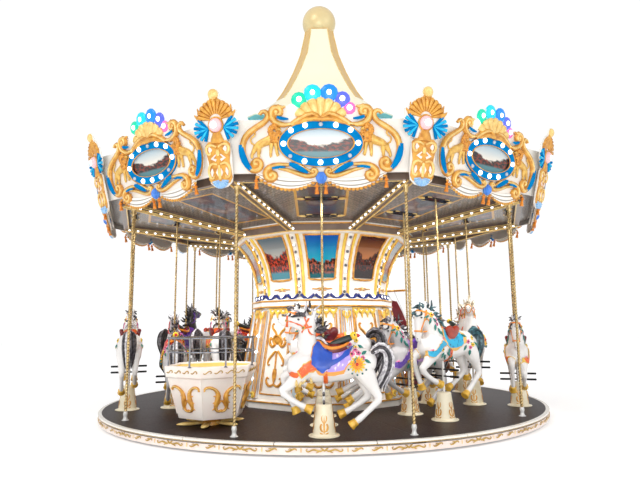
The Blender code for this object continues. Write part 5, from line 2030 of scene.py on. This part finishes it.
def tub_rails():
    """Two rail rings on eight stanchions."""
    rails = [level_ring("rail", z, 0.6, 0.011, CHROME, 36) for z in (0.98, 1.16)]
    for i in range(8):
        post = lathe("stanchion", mm([
            (0, 785), (24, 785), (24, 795), (13, 802), (12, 1155), (18, 1165), (0, 1178)]), 8, CHROME)
        rails.append(move(post, shift(*polar(0.601, 45 * i + 15, 0.0))))
    return rails


def build_tub():
    radius, angle = TUB_PLACE
    place = shift(*polar(radius, angle, DECK)) @ turn(angle)
    tub = tub_shell()
    side = tub_side()
    sides = [copy_to(side, "side", turn(60 * i)) for i in range(6)]
    throw_away(side)
    whole = gather("spinning_tub_body", [tub] + sides + tub_rails())
    move(whole, place)
    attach(whole, "tub")
    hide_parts("spinning_tub")
    stand = []
    for i in range(6):
        arm = rods("arm", mm([
            [(40, 0, 0, 30), (160, 0, 0, 40), (280, 0, 0, 52), (380, 0, 0, 48), (450, 0, 0, 26),
             (470, 0, 0, 10)]]), GOLD_PALE, 2)
        stand.append(move(arm, turn(60 * i) @ shift(0, 0, 0.03) @ Matrix.Diagonal((1, 1, 0.5, 1))))
    stand.append(lathe("boss", mm([
        (0, 1), (135, 1), (130, 40), (100, 60), (85, 80), (80, 108), (0, 108)]), 24, GOLD))
    stand.append(lathe("column", mm([
        (0, 108), (36, 108), (36, 560), (60, 575), (60, 620), (36, 640), (0, 645)]), 20, SILVER_WHITE))
    stand.append(level_ring("wheel", 0.652, 0.19, 0.016, CHROME, 32))
    plate = lathe("plate", [(0.0, 0.64), (0.178, 0.646), (0.178, 0.656), (0.0, 0.662)], 24, GOLD_PALE)
    stand.append(plate)
    whole = gather("tub_column", stand)
    move(whole, place)
    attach(whole, "turntable")
    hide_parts("tub_stand")


HALF_SIX = math.radians(30)
TUB_CREAM = painted("tub_cream", "#FBF3EA", "#F3DDD4", 3.0, 0.6, 0.0, 0.4, 0.05)
TUB_YELLOW = painted("tub_yellow", "#F0D47A", "#DDB050", 3.0, 0.6, 0.0, 0.3, 0.05)


# Bench carriage
def carriage_side(outline, y0, y1):
    """Carved side board with its rim, scrolls and boss on the outer face."""
    sign = -1 if y0 < 0 else 1
    face = y0 if y0 < 0 else y1
    rim = [(x * 0.985, face, 0.012 + z * 0.975, 0.014) for x, z in outline + outline[:1]]
    pieces = [board("side", outline, y0, y1, CARRIAGE_RED, 0.01), rods("rim", [rim], GOLD)]
    for strand in mm((
        [(-500, 620), (-420, 450), (-250, 300), (-20, 300), (100, 400), (40, 460), (-30, 400)],
        [(480, 900), (460, 650), (360, 400), (220, 200), (50, 140), (-20, 200), (50, 240)],
        [(-520, 150), (-350, 120), (-200, 180), (-260, 250), (-310, 200)])):
        pieces.append(carve("scroll", [[(x, face + sign * 0.006, z, 0.018) for x, z in strand]],
                            GOLD, 1.0, 1))
    boss = blossom("boss", 0.06, GOLD)
    return pieces + [move(boss, shift(0.22, face, 0.42) @ turn(-sign * 90, "X"))]


def carriage_frame():
    """Thin stays and gilt bars over the bench, which hold its cloth."""
    stays = []
    for low_x, high_x, low, r in mm(((-560, 300, 700, 8), (540, 540, 1000, 9), (-380, 100, 1000, 6))):
        stays += [[(low_x, y, low, r), (high_x, y, BAR_HEIGHT, r)] for y in (-0.43, 0.43)]
    bars = [[(-0.18, y, BAR_HEIGHT, 0.026), (0.58, y, BAR_HEIGHT, 0.026)] for y in (-0.43, 0.43)]
    bars += [[(x, -0.43, BAR_HEIGHT, 0.016), (x, 0.43, BAR_HEIGHT, 0.016)] for x in (0.1, 0.54)]
    return [rods("stays", stays, SILVER_WHITE), rods("bars", bars, GOLD)]


def build_carriage():
    radius, angle = CARRIAGE_PLACE
    place = shift(*polar(radius, angle, DECK)) @ turn(angle)
    outline = mm([
        (-620, 160), (-585, 60), (-500, 2), (460, 2), (555, 80), (580, 200), (615, 550), (600, 950),
        (565, 1030), (500, 1060), (420, 1040), (360, 980), (290, 780), (220, 620), (70, 530),
        (-100, 500), (-240, 540), (-340, 620), (-400, 720), (-500, 780), (-600, 770), (-640, 700),
        (-635, 450)])
    pieces = carriage_side(outline, -0.462, -0.418) + carriage_side(outline, 0.418, 0.462)
    cloth = mm([
        (-225, 1290), (-60, 1200), (140, 1300), (165, 1500), (165, 1850), (30, 1820), (-90, 1600)])
    for name, shape, y0, y1, finish, bevel in (
            ("floor", [(-0.52, 0.04), (0.5, 0.04), (0.5, 0.09), (-0.52, 0.09)], -0.425, 0.425,
             DECK_WOOD, 0.004),
            ("seat", [(0.08, 0.05), (0.5, 0.05), (0.5, 0.4), (0.08, 0.4)], -0.42, 0.42,
             CARRIAGE_RED, 0.012),
            ("back", [(0.47, 0.3), (0.53, 0.3), (0.55, 0.96), (0.49, 1.0)], -0.42, 0.42,
             CARRIAGE_RED, 0.012),
            ("dash", [(-0.52, 0.05), (-0.48, 0.05), (-0.52, 0.66), (-0.56, 0.68)], -0.42, 0.42,
             CARRIAGE_RED, 0.01),
            ("pad", [(0.07, 0.395), (0.47, 0.395), (0.47, 0.455), (0.07, 0.455)], -0.415, 0.415,
             MAROON, 0.022),
            ("cloth", cloth, -0.43, -0.418, CARRIAGE_RED, 0.003)):
        pieces.append(board(name, shape, y0, y1, finish, bevel))
    pieces += carriage_frame()
    whole = gather("bench_carriage", pieces)
    move(whole, place)
    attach(whole, "turntable")
    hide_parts("carriage")


BAR_HEIGHT = 2.06
CARRIAGE_RED = painted("carriage_red", "#8E1730", "#5E0D20", 5.0, 0.6, 0.0, 0.6, 0.05)


set_floor()
set_world()
set_lights()
set_camera()
dress_frame()
build_floor()
build_edge_strip()
build_skirt_scrolls()
build_posts()
build_stands()
build_canopy()
build_spire()
build_ball()
build_roof_seams()
build_flare()
build_drum()
build_ceiling()
build_tub()
build_carriage()
build_horses()
